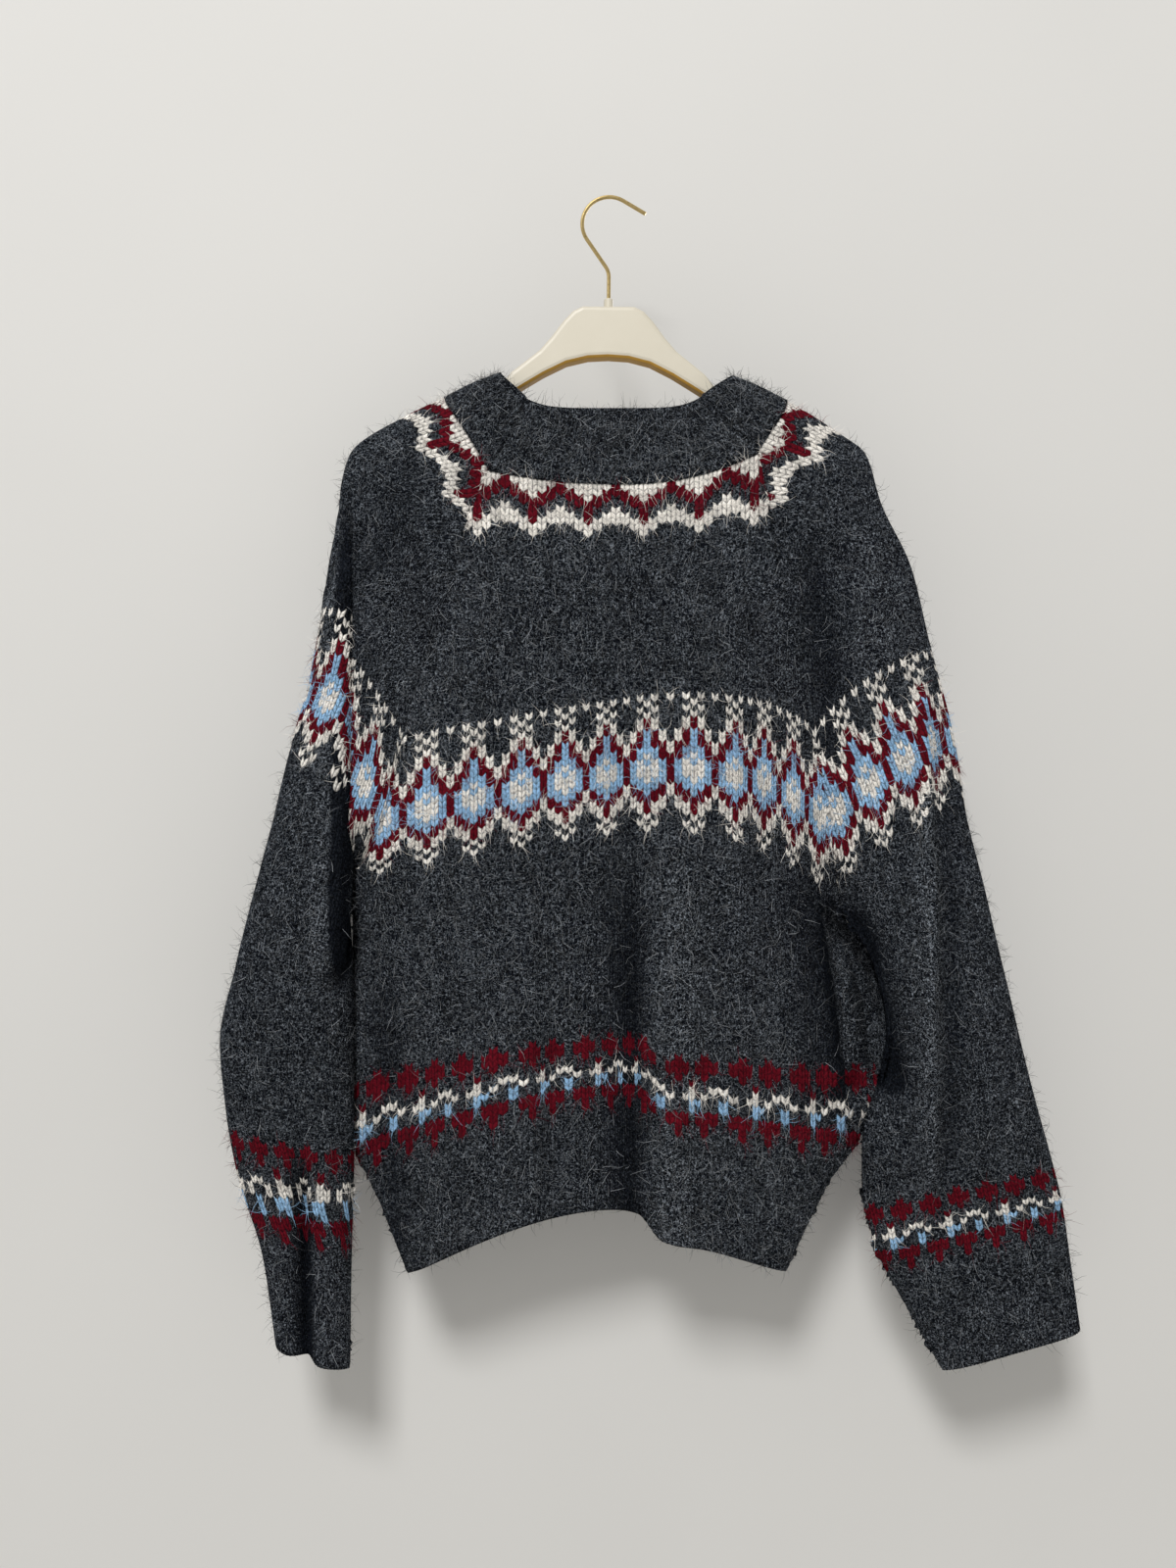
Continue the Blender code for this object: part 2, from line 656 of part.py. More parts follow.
def hook_route():
    """Centre line of the hook: tip, arc over the hanging point, shank, stem."""
    centre_z = WIRE_RADIUS - HOOK_RADIUS

    def on_arc(degrees):
        angle = math.radians(degrees)
        return HOOK_RADIUS * math.cos(angle), centre_z + HOOK_RADIUS * math.sin(angle)

    lean = math.radians(HOOK_TOP_ANGLE)
    top_x, top_z = on_arc(HOOK_TOP_ANGLE)
    tip = (top_x + HOOK_TIP_LENGTH * math.sin(lean), top_z - HOOK_TIP_LENGTH * math.cos(lean))
    steps = 18
    span = HOOK_TURN_ANGLE - HOOK_TOP_ANGLE
    arc = [on_arc(HOOK_TOP_ANGLE + span * i / steps) for i in range(steps + 1)]
    turn = math.radians(HOOK_TURN_ANGLE - 180)
    shank_x = arc[-1][0] + SHANK_LENGTH * math.sin(turn)
    shank_z = arc[-1][1] - SHANK_LENGTH * math.cos(turn)
    bend = []
    for i in range(6):
        angle = turn * (1 - i / 5)
        bend.append((shank_x + SHANK_BEND_RADIUS * (math.cos(angle) - math.cos(turn)),
                     shank_z - SHANK_BEND_RADIUS * (math.sin(turn) - math.sin(angle))))
    return [tip] + arc + bend + [(bend[-1][0], STEM_END_Z)]


def main():
    for thing in list(bpy.data.objects):
        bpy.data.objects.remove(thing)
    build_cloth()
    build_buttons()
    build_hanger()


PARTS = new_collection("knitted_cardigan")
main()
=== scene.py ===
# %% [markdown]
# # A stranded-knit raglan cardigan on a shop hanger
# The real thing is worked in thick brushed wool from the neck down: a round yoke of
# coloured bands, two sleeves, a back and two fronts that button. It hangs with its back
# to the viewer. The cloth is drawn here stitch by stitch, as a hand knitter would chart
# it, on the same courses (knitted rows) that the solid part was built from.

# %% Load the frame
import bisect
import math
import random

import bmesh
import bpy
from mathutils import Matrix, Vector


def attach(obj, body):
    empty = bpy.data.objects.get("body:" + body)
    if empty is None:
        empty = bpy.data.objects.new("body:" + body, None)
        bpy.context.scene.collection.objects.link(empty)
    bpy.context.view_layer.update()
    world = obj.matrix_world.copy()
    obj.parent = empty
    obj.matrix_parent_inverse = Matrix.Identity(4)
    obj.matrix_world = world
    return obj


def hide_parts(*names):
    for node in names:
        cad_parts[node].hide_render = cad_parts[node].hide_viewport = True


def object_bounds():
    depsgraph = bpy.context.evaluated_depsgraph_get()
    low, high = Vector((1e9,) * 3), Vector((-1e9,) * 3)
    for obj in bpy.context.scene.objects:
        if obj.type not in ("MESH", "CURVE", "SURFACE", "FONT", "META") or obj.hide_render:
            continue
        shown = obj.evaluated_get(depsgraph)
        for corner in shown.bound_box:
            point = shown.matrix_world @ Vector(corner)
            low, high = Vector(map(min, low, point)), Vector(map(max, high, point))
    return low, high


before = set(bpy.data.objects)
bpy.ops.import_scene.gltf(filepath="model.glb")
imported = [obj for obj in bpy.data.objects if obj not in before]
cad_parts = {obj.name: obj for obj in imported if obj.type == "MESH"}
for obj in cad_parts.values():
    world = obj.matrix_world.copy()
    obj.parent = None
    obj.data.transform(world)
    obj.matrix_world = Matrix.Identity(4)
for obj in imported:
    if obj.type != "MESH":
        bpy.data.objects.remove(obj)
cad_box = [list(corner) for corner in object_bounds()]
random.seed(7)
scene = bpy.context.scene
MM = 0.001
print("nodes:", len(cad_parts), "box:", [[round(v, 3) for v in c] for c in cad_box])

# %% [markdown]
# ## The camera
# It stands level with the middle of the garment and looks straight at its back, a little
# over a metre away, so the shoulders and the cuffs open slightly towards the edges.

# %% The camera
VIEW_DISTANCE = 1.15
HALF_VIEW = 0.664           # half of what the long side takes in at that distance
camera_data = bpy.data.cameras.new("viewer")
camera_data.lens = camera_data.sensor_width / 2 * VIEW_DISTANCE / HALF_VIEW
camera = bpy.data.objects.new("viewer", camera_data)
camera.location = (-0.0183, -VIEW_DISTANCE, -0.4955)
camera.rotation_euler = (math.radians(90), 0, 0)
scene.collection.objects.link(camera)
scene.camera = camera
print("lens", round(camera_data.lens, 2), "mm")

# %% [markdown]
# ## The courses
# Each course is a ring of cloth: back, sleeve, front, front, sleeve. Short tables place a
# few named courses and a smooth curve fills in the rest, so the same sizes shape the
# solid part and this cloth. Rows are counted down from the neck.

# %% Sizes of the garment, in millimetres
NECKBAND_TOP_ROW, NECK_ROW, UNDERARM_ROW, HEM_ROW, CUFF_ROW = -12, 0, 60, 117, 145
BAND_WIDTH, UNDER_BAND_WIDTH, FRONT_CENTRE_X = 30.0, 27.0, 4.0
LAP, LAP_REACH = 3.3, 50.0
BODY_ROUNDING, SLEEVE_ROUNDING, SIDE_SWAY_POWER = 2.6, 2.3, 4
SLEEVE_CLIMB, LEFT_TIGHTER, RIGHT_TIGHTER = 1.5, 0.9, 0.5
# The row where each begins, and how many rows it takes.
PULL_GROWS, PULL_FADES, TIGHT_GROWS, TIGHT_FADES = (12, 22), (UNDERARM_ROW, 27), (14, 14), (62, 30)
EDGE_EASE, SAMPLES = 16.0, 240
SHIFT_X, SHIFT_REACH = 24.0, 20.0
STITCH = 6.0                # one stitch, a V of two legs


def table(header, rows):
    """A table as a dictionary of columns."""
    return dict(zip(header.split(), zip(*rows)))


LEFT_SLEEVE = table("row inner_x inner_z outer_x outer_z depth sway", [
    (-12,  -71, -175,  -91, -150, 22, 0),
    (0,   -101, -237, -139, -170, 28, 0),
    (12,  -122, -292, -178, -189, 31, 0),
    (20,  -135, -343, -218, -218, 32, 0),
    (30,  -156, -404, -232, -284, 33, 0),
    (38,  -170, -452, -242, -342, 34, 0),
    (48,  -184, -514, -252, -410, 36, 0),
    (54,  -198, -550, -262, -445, 37, 0),
    (60,  -219, -582, -271, -482, 38, 0),
    (63,  -221.5, -596, -276, -504, 38, -1),
    (66,  -221.5, -608, -280, -526, 38, -6),
    (71,  -220, -628, -288, -560, 38, -12),
    (77,  -218, -652, -298, -598, 38, -13),
    (85,  -217, -684, -310, -645, 37, -12),
    (100, -217, -746, -324, -712, 33, -11),
    (112, -217, -795, -320, -768, 30, -8),
    (121, -218, -832, -312, -819, 28, -5),
    (133, -221, -911, -291, -893, 26, 0),
    (145, -222, -990, -280, -967, 25, 0)])

RIGHT_SLEEVE = table("row inner_x inner_z outer_x outer_z depth sway", [
    (-12,   78, -173,  102, -153, 22, 0),
    (0,    122, -223,  149, -173, 28, 0),
    (12,   133, -281,  200, -205, 31, 0),
    (15,   136, -299,  214, -216, 31, 0),
    (21,   144, -338,  228, -260, 31, 0),
    (29,   153, -389,  253, -313, 31, 0),
    (38,   165, -447,  269, -378, 31, 0),
    (48,   178, -513,  287, -446, 31, 0),
    (54,   185, -553,  294, -484, 31, 0),
    (60,   193, -592,  299, -521, 31, 0),
    (63,   197, -602,  303, -540, 31, -1),
    (66,   204.5, -615,  306, -557, 31, -6),
    (71,   218, -637,  312, -586, 31, -11),
    (77,   228, -666,  320, -622, 30, -12),
    (85,   234, -707,  331, -667, 29, -12),
    (94,   226, -751,  343, -716, 28, -11),
    (103,  214, -792,  355, -761, 26, -9),
    (112,  215, -838,  368, -803, 25, -4),
    (121,  225, -883,  380, -846, 23, 0),
    (133,  254, -940,  388, -900, 21, 0),
    (145,  283, -991,  396, -956, 20, 0)])

SIDES = table("row left_x left_z right_x right_z", [
    (60,  -219, -582, 193, -592),
    (63,  -216.5, -597, 196, -606),
    (66,  -217, -611, 206, -620),
    (71,  -218, -636, 220, -642),
    (76,  -219.5, -661, 230, -668),
    (82,  -220, -698, 237, -702),
    (89,  -219, -744, 233, -739),
    (96,  -217, -793, 218, -786),
    (106, -193, -852, 181, -840),
    (117, -170, -908, 149, -905)])

MIDDLE = table("row back_z front_z depth edge arch shift drop sway", [
    (-12, -185, -231, 25, 20, 5.0, 0, 16, 0),
    (0,   -249, -292, 31, 27, 2.2, 0, 26, 0),
    (12,  -293, -331, 34, 30, 2.0, 0, 22, 0),
    (48,  -485, -496, 37, 30, 1.6, 0, 7, 0),
    (55,  -523, -532, 37, 20, 1.6, 1, 3, 0),
    (60,  -550, -556, 37, 3, 1.6, 2, 0, 0),
    (63,  -565, -571, 37, 0, 1.6, 3, 0, 1),
    (66,  -581, -586, 37, 0, 1.6, 4, 0, 6),
    (71,  -607, -611, 37, 0, 1.6, 6, 0, 11),
    (76,  -633, -637, 37, 0, 1.6, 8, 0, 11),
    (95,  -732, -735, 36, 0, 1.6, 15, 0, 10),
    (106, -790, -792, 34, 0, 1.6, 16, 0, 4),
    (117, -847, -848, 32, 0, 1.6, 16, 0, 0)])
print("rows set by hand:", sum(len(t["row"]) for t in (LEFT_SLEEVE, RIGHT_SLEEVE, SIDES, MIDDLE)))

# %% [markdown]
# ## The folds
# Thick wool on a narrow hanger falls in a few soft ridges and troughs. Each one is a line
# down the cloth with a width and a lift, and the lift fades out at its
# ends. A cloth simulation would find folds of its own, not the ones this garment has.
# The same lines also set painted fold shade: the wool is drawn darker in a trough and lighter on a
# ridge.

# %% Folds
FOLD_FADE_IN, FOLD_FADE_OUT, FOLD_SPREAD = 0.3, 0.12, 3.5
PAINTED_SHADE_RANGE = 30.0          # millimetres of fold lift from full painted fold shade to none
FOLD_COLUMNS = "name top_x top_z bottom_x bottom_z width lift"
BACK_FOLDS = table(FOLD_COLUMNS, [
    ("centre trough", 16, -505, 17, -960, 22, -11),
    ("centre ridge", 54, -500, 52, -960, 20, 10),
    ("left side trough", -190, -610, -176, -960, 14, -8),
    ("right broad trough", 158, -530, 188, -800, 26, -8),
    ("right side trough", 182, -580, 210, -775, 13, -12),
    ("right arm hollow", 201, -580, 238, -762, 14, -24),
    ("right arm fold", 186, -590, 200, -740, 7, -11),
    ("left hollow", -158, -225, -190, -330, 18, -5),
    ("right shoulder trough", 166, -270, 186, -500, 20, -9),
    ("right shoulder ridge", 212, -250, 226, -420, 15, 4),
    ("left sleeve crease", -220, -230, -223, -680, 6, -26),
    ("left sleeve lip", -232, -240, -234, -680, 8, 8),
    ("left sleeve hollow", -207, -240, -208, -600, 12, -3),
    ("left cuff crease", -256, -770, -252, -1040, 8, -17),
    ("right sleeve ridge", 257, -360, 262, -850, 7, 15),
    ("right sleeve trough", 275, -380, 282, -850, 12, -6)])
FRONT_FOLDS = table(FOLD_COLUMNS, [
    ("left trough", -92, -520, -84, -960, 20, -11),
    ("left ridge", -132, -520, -128, -960, 20, 8),
    ("right trough", 96, -500, 104, -960, 20, -12),
    ("right ridge", 140, -540, 136, -960, 18, 7),
    ("left sleeve crease", -219, -290, -222, -590, 9, -13),
    ("right sleeve crease", 196, -300, 205, -580, 12, -10),
    ("left cuff crease", -250, -780, -248, -1040, 10, -9),
    ("right cuff trough", 300, -780, 330, -1040, 14, -7)])


def smoothstep(t):
    t = max(0.0, min(1.0, t))
    return t * t * (3 - 2 * t)


def eased(value, start, reach):
    """Rises smoothly from 0 at the start to 1 a reach further on."""
    return smoothstep((value - start) / reach)


def fold_lift(folds, x, z):
    """Height of the folds at a place on a layer, outward positive."""
    total = 0.0
    for k in range(len(folds["name"])):
        top_z, bottom_z = folds["top_z"][k], folds["bottom_z"][k]
        along = (top_z - z) / (top_z - bottom_z)
        if not 0.0 < along < 1.0:
            continue
        line_x = folds["top_x"][k] + (folds["bottom_x"][k] - folds["top_x"][k]) * along
        across = (x - line_x) / folds["width"][k]
        if abs(across) > FOLD_SPREAD:
            continue
        fade = smoothstep(along / FOLD_FADE_IN) * smoothstep((1.0 - along) / FOLD_FADE_OUT)
        total += folds["lift"][k] * fade * math.exp(-across * across)
    return total


def painted_fold_light_at(place):
    """Painted fold shade at a place, from 0 deep in a fold (darkest) to 1 on a ridge (lightest)."""
    folds = BACK_FOLDS if place.y < 0 else FRONT_FOLDS
    return max(0.0, min(1.0, 0.5 + fold_lift(folds, place.x, place.z) / PAINTED_SHADE_RANGE))


print("folds:", len(BACK_FOLDS["name"]), "behind,", len(FRONT_FOLDS["name"]), "in front")

# %% [markdown]
# ## From tables to courses
# A course is read off the tables on a smooth curve, its ends are rounded like the ends of
# a flattened tube, and the folds are laid over it. Points along it are then found by the
# distance travelled, because a knitter counts stitches along the cloth. Two places need
# more than a fold. The left sleeve's crease is sharp, so its outer lip leans over the
# trough, and beside the right arm the back turns away into a hollow.

# %% Where the cloth does more than fold
# How far the cloth is pulled up across the chest behind: a place across the body, a lift.
PULLED_UP = [(-90, 0), (-37, 3), (0, 7), (30, 13), (70, 18.5), (105, 19.5), (130, 18),
             (155, 10), (178, 0)]
LIP_TOP, LIP_BOTTOM, LIP_REACH, LIP_WIDTH = (-220, -240), (-223, -680), 12.0, 6.5
LIP_FADE_IN, LIP_FADE_OUT = 0.2, 0.15
LIP_RISES, LIP_FALLS = (-4.5, 3.6), (-0.8, 0.9)     # in widths of the lip, across it
HOLLOW = table("row depth", [(50, 0), (60, 3), (66, 11), (72, 15), (84, 15), (93, 9), (106, 0)])
HOLLOW_REACH, HOLLOW_END = 42.0, 5.0
print("pulled up by", max(lift for _, lift in PULLED_UP), "mm at most")

# %% Reading the tables
def between_marks(marks, at):
    """Straight-line value between the pairs of a list, level beyond its ends."""
    k = bisect.bisect_right(marks, (at, math.inf)) - 1
    if k < 0:
        return marks[0][1]
    if k >= len(marks) - 1:
        return marks[-1][1]
    (x0, y0), (x1, y1) = marks[k], marks[k + 1]
    return y0 + (y1 - y0) * (at - x0) / (x1 - x0)


def read(columns, name, row):
    """Value of a column at a row, on a smooth curve that never overshoots."""
    xs, ys = columns["row"], columns[name]
    if row <= xs[0]:
        return ys[0]
    if row >= xs[-1]:
        return ys[-1]
    i = next(k for k in range(len(xs) - 1) if xs[k] <= row <= xs[k + 1])
    slopes = [(ys[k + 1] - ys[k]) / (xs[k + 1] - xs[k]) for k in range(len(xs) - 1)]

    def tangent(k):
        if k == 0 or k == len(xs) - 1:
            return slopes[min(k, len(slopes) - 1)]
        before, after = slopes[k - 1], slopes[k]
        return 0.0 if before * after <= 0 else 2 * before * after / (before + after)

    span = xs[i + 1] - xs[i]
    t = (row - xs[i]) / span
    return ((2 * t**3 - 3 * t**2 + 1) * ys[i] + (t**3 - 2 * t**2 + t) * span * tangent(i)
            + (3 * t**2 - 2 * t**3) * ys[i + 1] + (t**3 - t**2) * span * tangent(i + 1))


print("the neck lies", -read(MIDDLE, "back_z", NECK_ROW), "mm below the rail")

# %% The courses of the body and the sleeves
def overlap(x, z):
    """How far the lip of the left sleeve's crease leans over the trough beside it."""
    (top_x, top_z), (bottom_x, bottom_z) = LIP_TOP, LIP_BOTTOM
    along = (top_z - z) / (top_z - bottom_z)
    if not 0.0 < along < 1.0:
        return 0.0
    across = (x - top_x - (bottom_x - top_x) * along) / LIP_WIDTH
    fade = smoothstep(along / LIP_FADE_IN) * smoothstep((1.0 - along) / LIP_FADE_OUT)
    return LIP_REACH * fade * eased(across, *LIP_RISES) * (1.0 - eased(across, *LIP_FALLS))


def on_layer(face, x, z, depth):
    """A point of the back (face -1) or the front (face +1) with its folds."""
    folds = BACK_FOLDS if face < 0 else FRONT_FOLDS
    lift = fold_lift(folds, x, z) * smoothstep(depth / EDGE_EASE)
    lean = overlap(x, z) if face < 0 else 0.0
    return Vector((x + lean, face * (depth + lift), z))


def rounded(t, exponent):
    return (1.0 - min(1.0, t) ** exponent) ** (1.0 / exponent)


def seam_end(sleeve, row, face):
    """Where a raglan seam crosses a course; it lies lower in front."""
    drop = read(MIDDLE, "drop", row) if face > 0 else 0.0
    return read(sleeve, "inner_x", row), read(sleeve, "inner_z", row) - drop


def body_course(row, face):
    """The back's or the fronts' part of a course, from left to right."""
    if row <= UNDERARM_ROW:
        left_x, left_z = seam_end(LEFT_SLEEVE, row, face)
        right_x, right_z = seam_end(RIGHT_SLEEVE, row, face)
    else:
        left_x, left_z = read(SIDES, "left_x", row), read(SIDES, "left_z", row)
        right_x, right_z = read(SIDES, "right_x", row), read(SIDES, "right_z", row)
    mid_x, half = (left_x + right_x) / 2, (right_x - left_x) / 2
    mid_z = read(MIDDLE, "back_z" if face < 0 else "front_z", row)
    depth, edge = read(MIDDLE, "depth", row), read(MIDDLE, "edge", row)
    arch, sway = read(MIDDLE, "arch", row), read(MIDDLE, "sway", row)
    shift = read(MIDDLE, "shift", row) if face < 0 else 0.0
    pull = eased(row, *PULL_GROWS) * (1 - eased(row, *PULL_FADES)) if face < 0 else 0.0
    hollow = read(HOLLOW, "depth", row) if face < 0 else 0.0
    points = []
    for i in range(SAMPLES + 1):
        t = math.sin(math.pi * (i / SAMPLES - 0.5))
        x = mid_x + half * t
        side_z = left_z if t < 0 else right_z
        lowered = shift * eased(x, SHIFT_X, SHIFT_REACH)
        z = mid_z - lowered + (side_z - mid_z + lowered) * abs(t) ** arch
        if pull:
            z += pull * between_marks(PULLED_UP, x)
        point = on_layer(face, x, z, edge + (depth - edge) * rounded(abs(t), BODY_ROUNDING))
        point.y += sway * abs(t) ** SIDE_SWAY_POWER
        if hollow:
            turn = smoothstep(1.5 * (x - right_x + HOLLOW_REACH) / HOLLOW_REACH)
            point.y += hollow * turn * (1.0 - smoothstep((x - right_x + HOLLOW_END) / HOLLOW_END))
        points.append(point)
    return points


def sleeve_half(sleeve, row, face):
    """A sleeve's part of a course, from its seam or underarm to the top of the arm."""
    inner_x, inner_z = seam_end(sleeve, row, face)
    outer_x, outer_z = read(sleeve, "outer_x", row), read(sleeve, "outer_z", row)
    depth, sway = read(sleeve, "depth", row), read(sleeve, "sway", row)
    edge = read(MIDDLE, "edge", row)
    widest = 0.5 * (1.0 - edge / depth)
    flat = []
    for i in range(SAMPLES // 2 + 1):
        t = 0.5 - 0.5 * math.cos(math.pi * i / (SAMPLES // 2))
        if t >= widest:
            half_depth = depth * rounded((t - widest) / (1.0 - widest), SLEEVE_ROUNDING)
        else:
            half_depth = edge + (depth - edge) * rounded((widest - t) / widest, SLEEVE_ROUNDING)
        guess_z = inner_z + (outer_z - inner_z) * t
        flat.append(on_layer(face, inner_x + (outer_x - inner_x) * t, guess_z, half_depth))
    tight = eased(row, *TIGHT_GROWS) * (1.0 - eased(row, *TIGHT_FADES))
    power = SLEEVE_CLIMB + (LEFT_TIGHTER if inner_x < 0 else RIGHT_TIGHTER) * tight
    travelled = [0.0]
    for a, b in zip(flat, flat[1:]):
        travelled.append(travelled[-1] + (b - a).xy.length)
    for point, distance in zip(flat, travelled):
        climb = 1.0 - (1.0 - distance / travelled[-1]) ** power
        point.z = inner_z + (outer_z - inner_z) * climb
        point.y += sway
    return flat


print("a course of the back starts at", [round(v) for v in body_course(48, -1)[0]])

# %% Measuring along a course
def distances(points):
    """Distance travelled along a course at each of its points."""
    travelled = [0.0]
    for a, b in zip(points, points[1:]):
        travelled.append(travelled[-1] + (b - a).length)
    return travelled


def point_at(points, travelled, distance):
    """The place that far along a course, or its end where the course is shorter."""
    if distance <= 0.0:
        return points[0].copy()
    if distance >= travelled[-1]:
        return points[-1].copy()
    k = bisect.bisect_right(travelled, distance) - 1
    step = travelled[k + 1] - travelled[k]
    return points[k].lerp(points[k + 1], (distance - travelled[k]) / step if step else 0.0)


def distance_to_x(points, travelled, x):
    """How far along a left-to-right course it reaches a place across the body."""
    for k in range(len(points) - 1):
        if points[k].x <= x <= points[k + 1].x and points[k + 1].x > points[k].x:
            share = (x - points[k].x) / (points[k + 1].x - points[k].x)
            return travelled[k] + share * (travelled[k + 1] - travelled[k])
    return 0.0 if x < points[0].x else travelled[-1]


def between(points, start_x, end_x):
    """The stretch of a left-to-right course between two places across the body."""
    travelled = distances(points)
    ends = [point_at(points, travelled, distance_to_x(points, travelled, x))
            for x in (start_x, end_x)]
    return [ends[0]] + [p.copy() for p in points if start_x < p.x < end_x] + [ends[1]]


print("a course of the back:", round(distances(body_course(48, -1))[-1]), "mm")

# %% Each piece's own courses, with the distance at which its chart is centred
BACK_CENTRE_X = -2.1


def back_course(row):
    points = body_course(row, -1)
    return points, distance_to_x(points, distances(points), BACK_CENTRE_X)


def front_course(row, part):
    """left, right, under or over part of the fronts' course."""
    whole = body_course(row, 1)
    left_edge, right_edge = FRONT_CENTRE_X - BAND_WIDTH / 2, FRONT_CENTRE_X + BAND_WIDTH / 2
    start, end = {"left": (whole[0].x, left_edge), "right": (right_edge, whole[-1].x),
                  "under": (left_edge, left_edge + UNDER_BAND_WIDTH),
                  "over": (left_edge, right_edge)}[part]
    travelled = distances(whole)
    centre = (distance_to_x(whole, travelled, FRONT_CENTRE_X)
              - distance_to_x(whole, travelled, start))
    points = between(whole, start, end)
    if part in ("right", "over"):
        for p in points:
            p.y += LAP * (1.0 - eased(p.x, right_edge, LAP_REACH))
    return points, centre


def sleeve_course(sleeve, row):
    """Back half out to the top of the arm, where the chart is centred, then the front half."""
    back, front = sleeve_half(sleeve, row, -1), sleeve_half(sleeve, row, 1)
    return back + front[-2::-1], distances(back)[-1]


def neckband_course(row):
    """Once round the neck, from the under band's edge to the over band's edge."""
    lead = (front_course(row, "left")[0][::-1][:-1]
            + sleeve_course(LEFT_SLEEVE, row)[0][::-1][:-1])
    back, centre = back_course(row)
    tail = sleeve_course(RIGHT_SLEEVE, row)[0][1:] + front_course(row, "right")[0][::-1][1:]
    return lead + back + tail, distances(lead + back[:1])[-1] + centre


print("round the neck:", round(distances(neckband_course(0)[0])[-1]), "mm")

# %% [markdown]
# ## Knitted rows
# The tables' rows are stations along the garment. The knitter's own rows are evenly
# spaced down the middle of the back, and everything else follows from where those lie.

# %% Knitted rows
CUFF_ROW_HEIGHT, FINE_STEPS = 5.2, 2000


def even_rows(first, last, count):
    """count + 1 stations from first to last, evenly spaced down the middle of the back."""
    def height(row):
        below_hem = max(0.0, row - HEM_ROW)
        return read(MIDDLE, "back_z", min(row, HEM_ROW)) - below_hem * CUFF_ROW_HEIGHT

    fine = [first + (last - first) * k / FINE_STEPS for k in range(FINE_STEPS + 1)]
    drops = [height(first) - height(row) for row in fine]
    stations = [fine[min(bisect.bisect_left(drops, drops[-1] * k / count), FINE_STEPS)]
                for k in range(count + 1)]
    stations[0], stations[-1] = first, last
    return stations


BAND_ROWS = even_rows(NECKBAND_TOP_ROW, NECK_ROW, 13)
BODY_ROWS = even_rows(NECK_ROW, HEM_ROW, 126)
SLEEVE_ROWS = BODY_ROWS + even_rows(HEM_ROW, CUFF_ROW, 31)[1:]
EDGING_ROWS = BAND_ROWS[:-1] + BODY_ROWS
print("rows:", len(BODY_ROWS) - 1, "to the hem,", len(SLEEVE_ROWS) - 1, "to the cuffs")

# %% [markdown]
# ## The colour charts
# Stranded knitting is charted on squared paper, one square a stitch. These are three
# common folk motifs: a zigzag round the neck, a row of lozenges round the chest, and a
# narrow dog-tooth band above the hem and the cuffs. Each letter is a yarn: w white,
# r burgundy, b sky blue, and a dot for the charcoal ground.

# %% Charts
ZIGZAG = ["wwwrww", "wwrrrw", "wrr.rr", "rr...r", "r..w..",
          "r.www.", "rwwwww", "ww...w", "w....."]
LOZENGE_HALF = [".w.w", "w...", ".w..", "w...", "rw..", "rw..", "brw.", "brw.", "brrw", "bbrw",
                "wbrr", "bwbr", "wwbr", "wwbr", "wbbr", "bbrw", "brrw", "rrw.", "rww.", "rw..",
                "w...", ".w..", "w..."]
DOG_TOOTH = ["r...r...", "rr.rrr.r", "rr.rrr.r", "r...r...", "......r.", ".ww...w.", "w..w.ww.",
             "..b...bb", "..b...b.", "rr.rrr.r", "rr.rrr.r", "r...r...", "r...r..."]


def mirrored(half):
    """A whole repeat from its right half: the centre stitch and those to its right."""
    return [row + row[-2:0:-1] for row in half]


LOZENGE = mirrored(LOZENGE_HALF)
ZIGZAG_START, LOZENGE_START, HEM_START, CUFF_START = 0, 39, 95, 123
YOKE_END, CHEST_END = 20, 80
# The left cuff is pulled long, so some rows of its band are worked twice.
LONG_CUFF = [DOG_TOOTH[k] for k in (0, 1, 2, 3, 3, 4, 4, 5, 6, 6, 7, 7, 8, 9, 10, 11, 12)]


def charted(chart, start, column, row):
    """The yarn's letter, or a dot where the chart has none at this place."""
    if not start <= row < start + len(chart):
        return "."
    letters = chart[row - start]
    return letters[column % len(letters)]


def yarns(zigzag_shift, lozenge_shift, lowest, start):
    """The yarn at a column and row of a piece that carries all three bands."""
    def yarn(column, row):
        if row < YOKE_END:
            return charted(ZIGZAG, ZIGZAG_START, column + zigzag_shift, row)
        if row < CHEST_END:
            return charted(LOZENGE, LOZENGE_START, column + lozenge_shift, row)
        return charted(lowest, start, column, row)
    return yarn


BODY_YARN = yarns(2, 0, DOG_TOOTH, HEM_START)


def ground(column, row):
    return "."


for name, chart in (("zigzag", ZIGZAG), ("lozenge", LOZENGE), ("dog-tooth", DOG_TOOTH)):
    print(name, len(chart[0]), "stitches wide,", len(chart), "rows")

# %% [markdown]
# ## Knitting a piece
# A stitch shows as a V of two legs. The cloth is one grid with four columns to a stitch:
# the lines where legs meet lie low, the line down the middle of each leg stands proud,
# and every other line is pushed up or down the cloth so that the rows run in little Vs.
# Stitches past a seam are folded onto it, which is how a shaped piece cuts its chart.

# %% Yarns and the widths of stitches
YARN = {".": (0.0062, 0.0078, 0.0112), "w": (0.86, 0.82, 0.76), "r": (0.125, 0.006, 0.013),
        "b": (0.31, 0.52, 0.76)}
SLANT = 0.30                # rows by which a leg's foot hangs below its middle
LEG_STAND, LEG_SINK = 0.45, 0.25
WALL = 2.8
SEAM_SINK, SEAM_WIDTH = 0.1, 2.5
NECK_STITCHES = 132
TONE_SPREAD = 0.13          # how unevenly the yarn took its dye
SAME_PLACE = 0.00003


def even(width=lambda station: STITCH):
    """Stitches of one width along a course."""
    def ruler(station, points, travelled, centre):
        return lambda count: centre + count * width(station)
    return ruler


def round_the_neck(station, points, travelled, centre):
    """The same stitches on every course, closer together where the course is shorter."""
    width = travelled[-1] / NECK_STITCHES
    return lambda count: centre + count * width


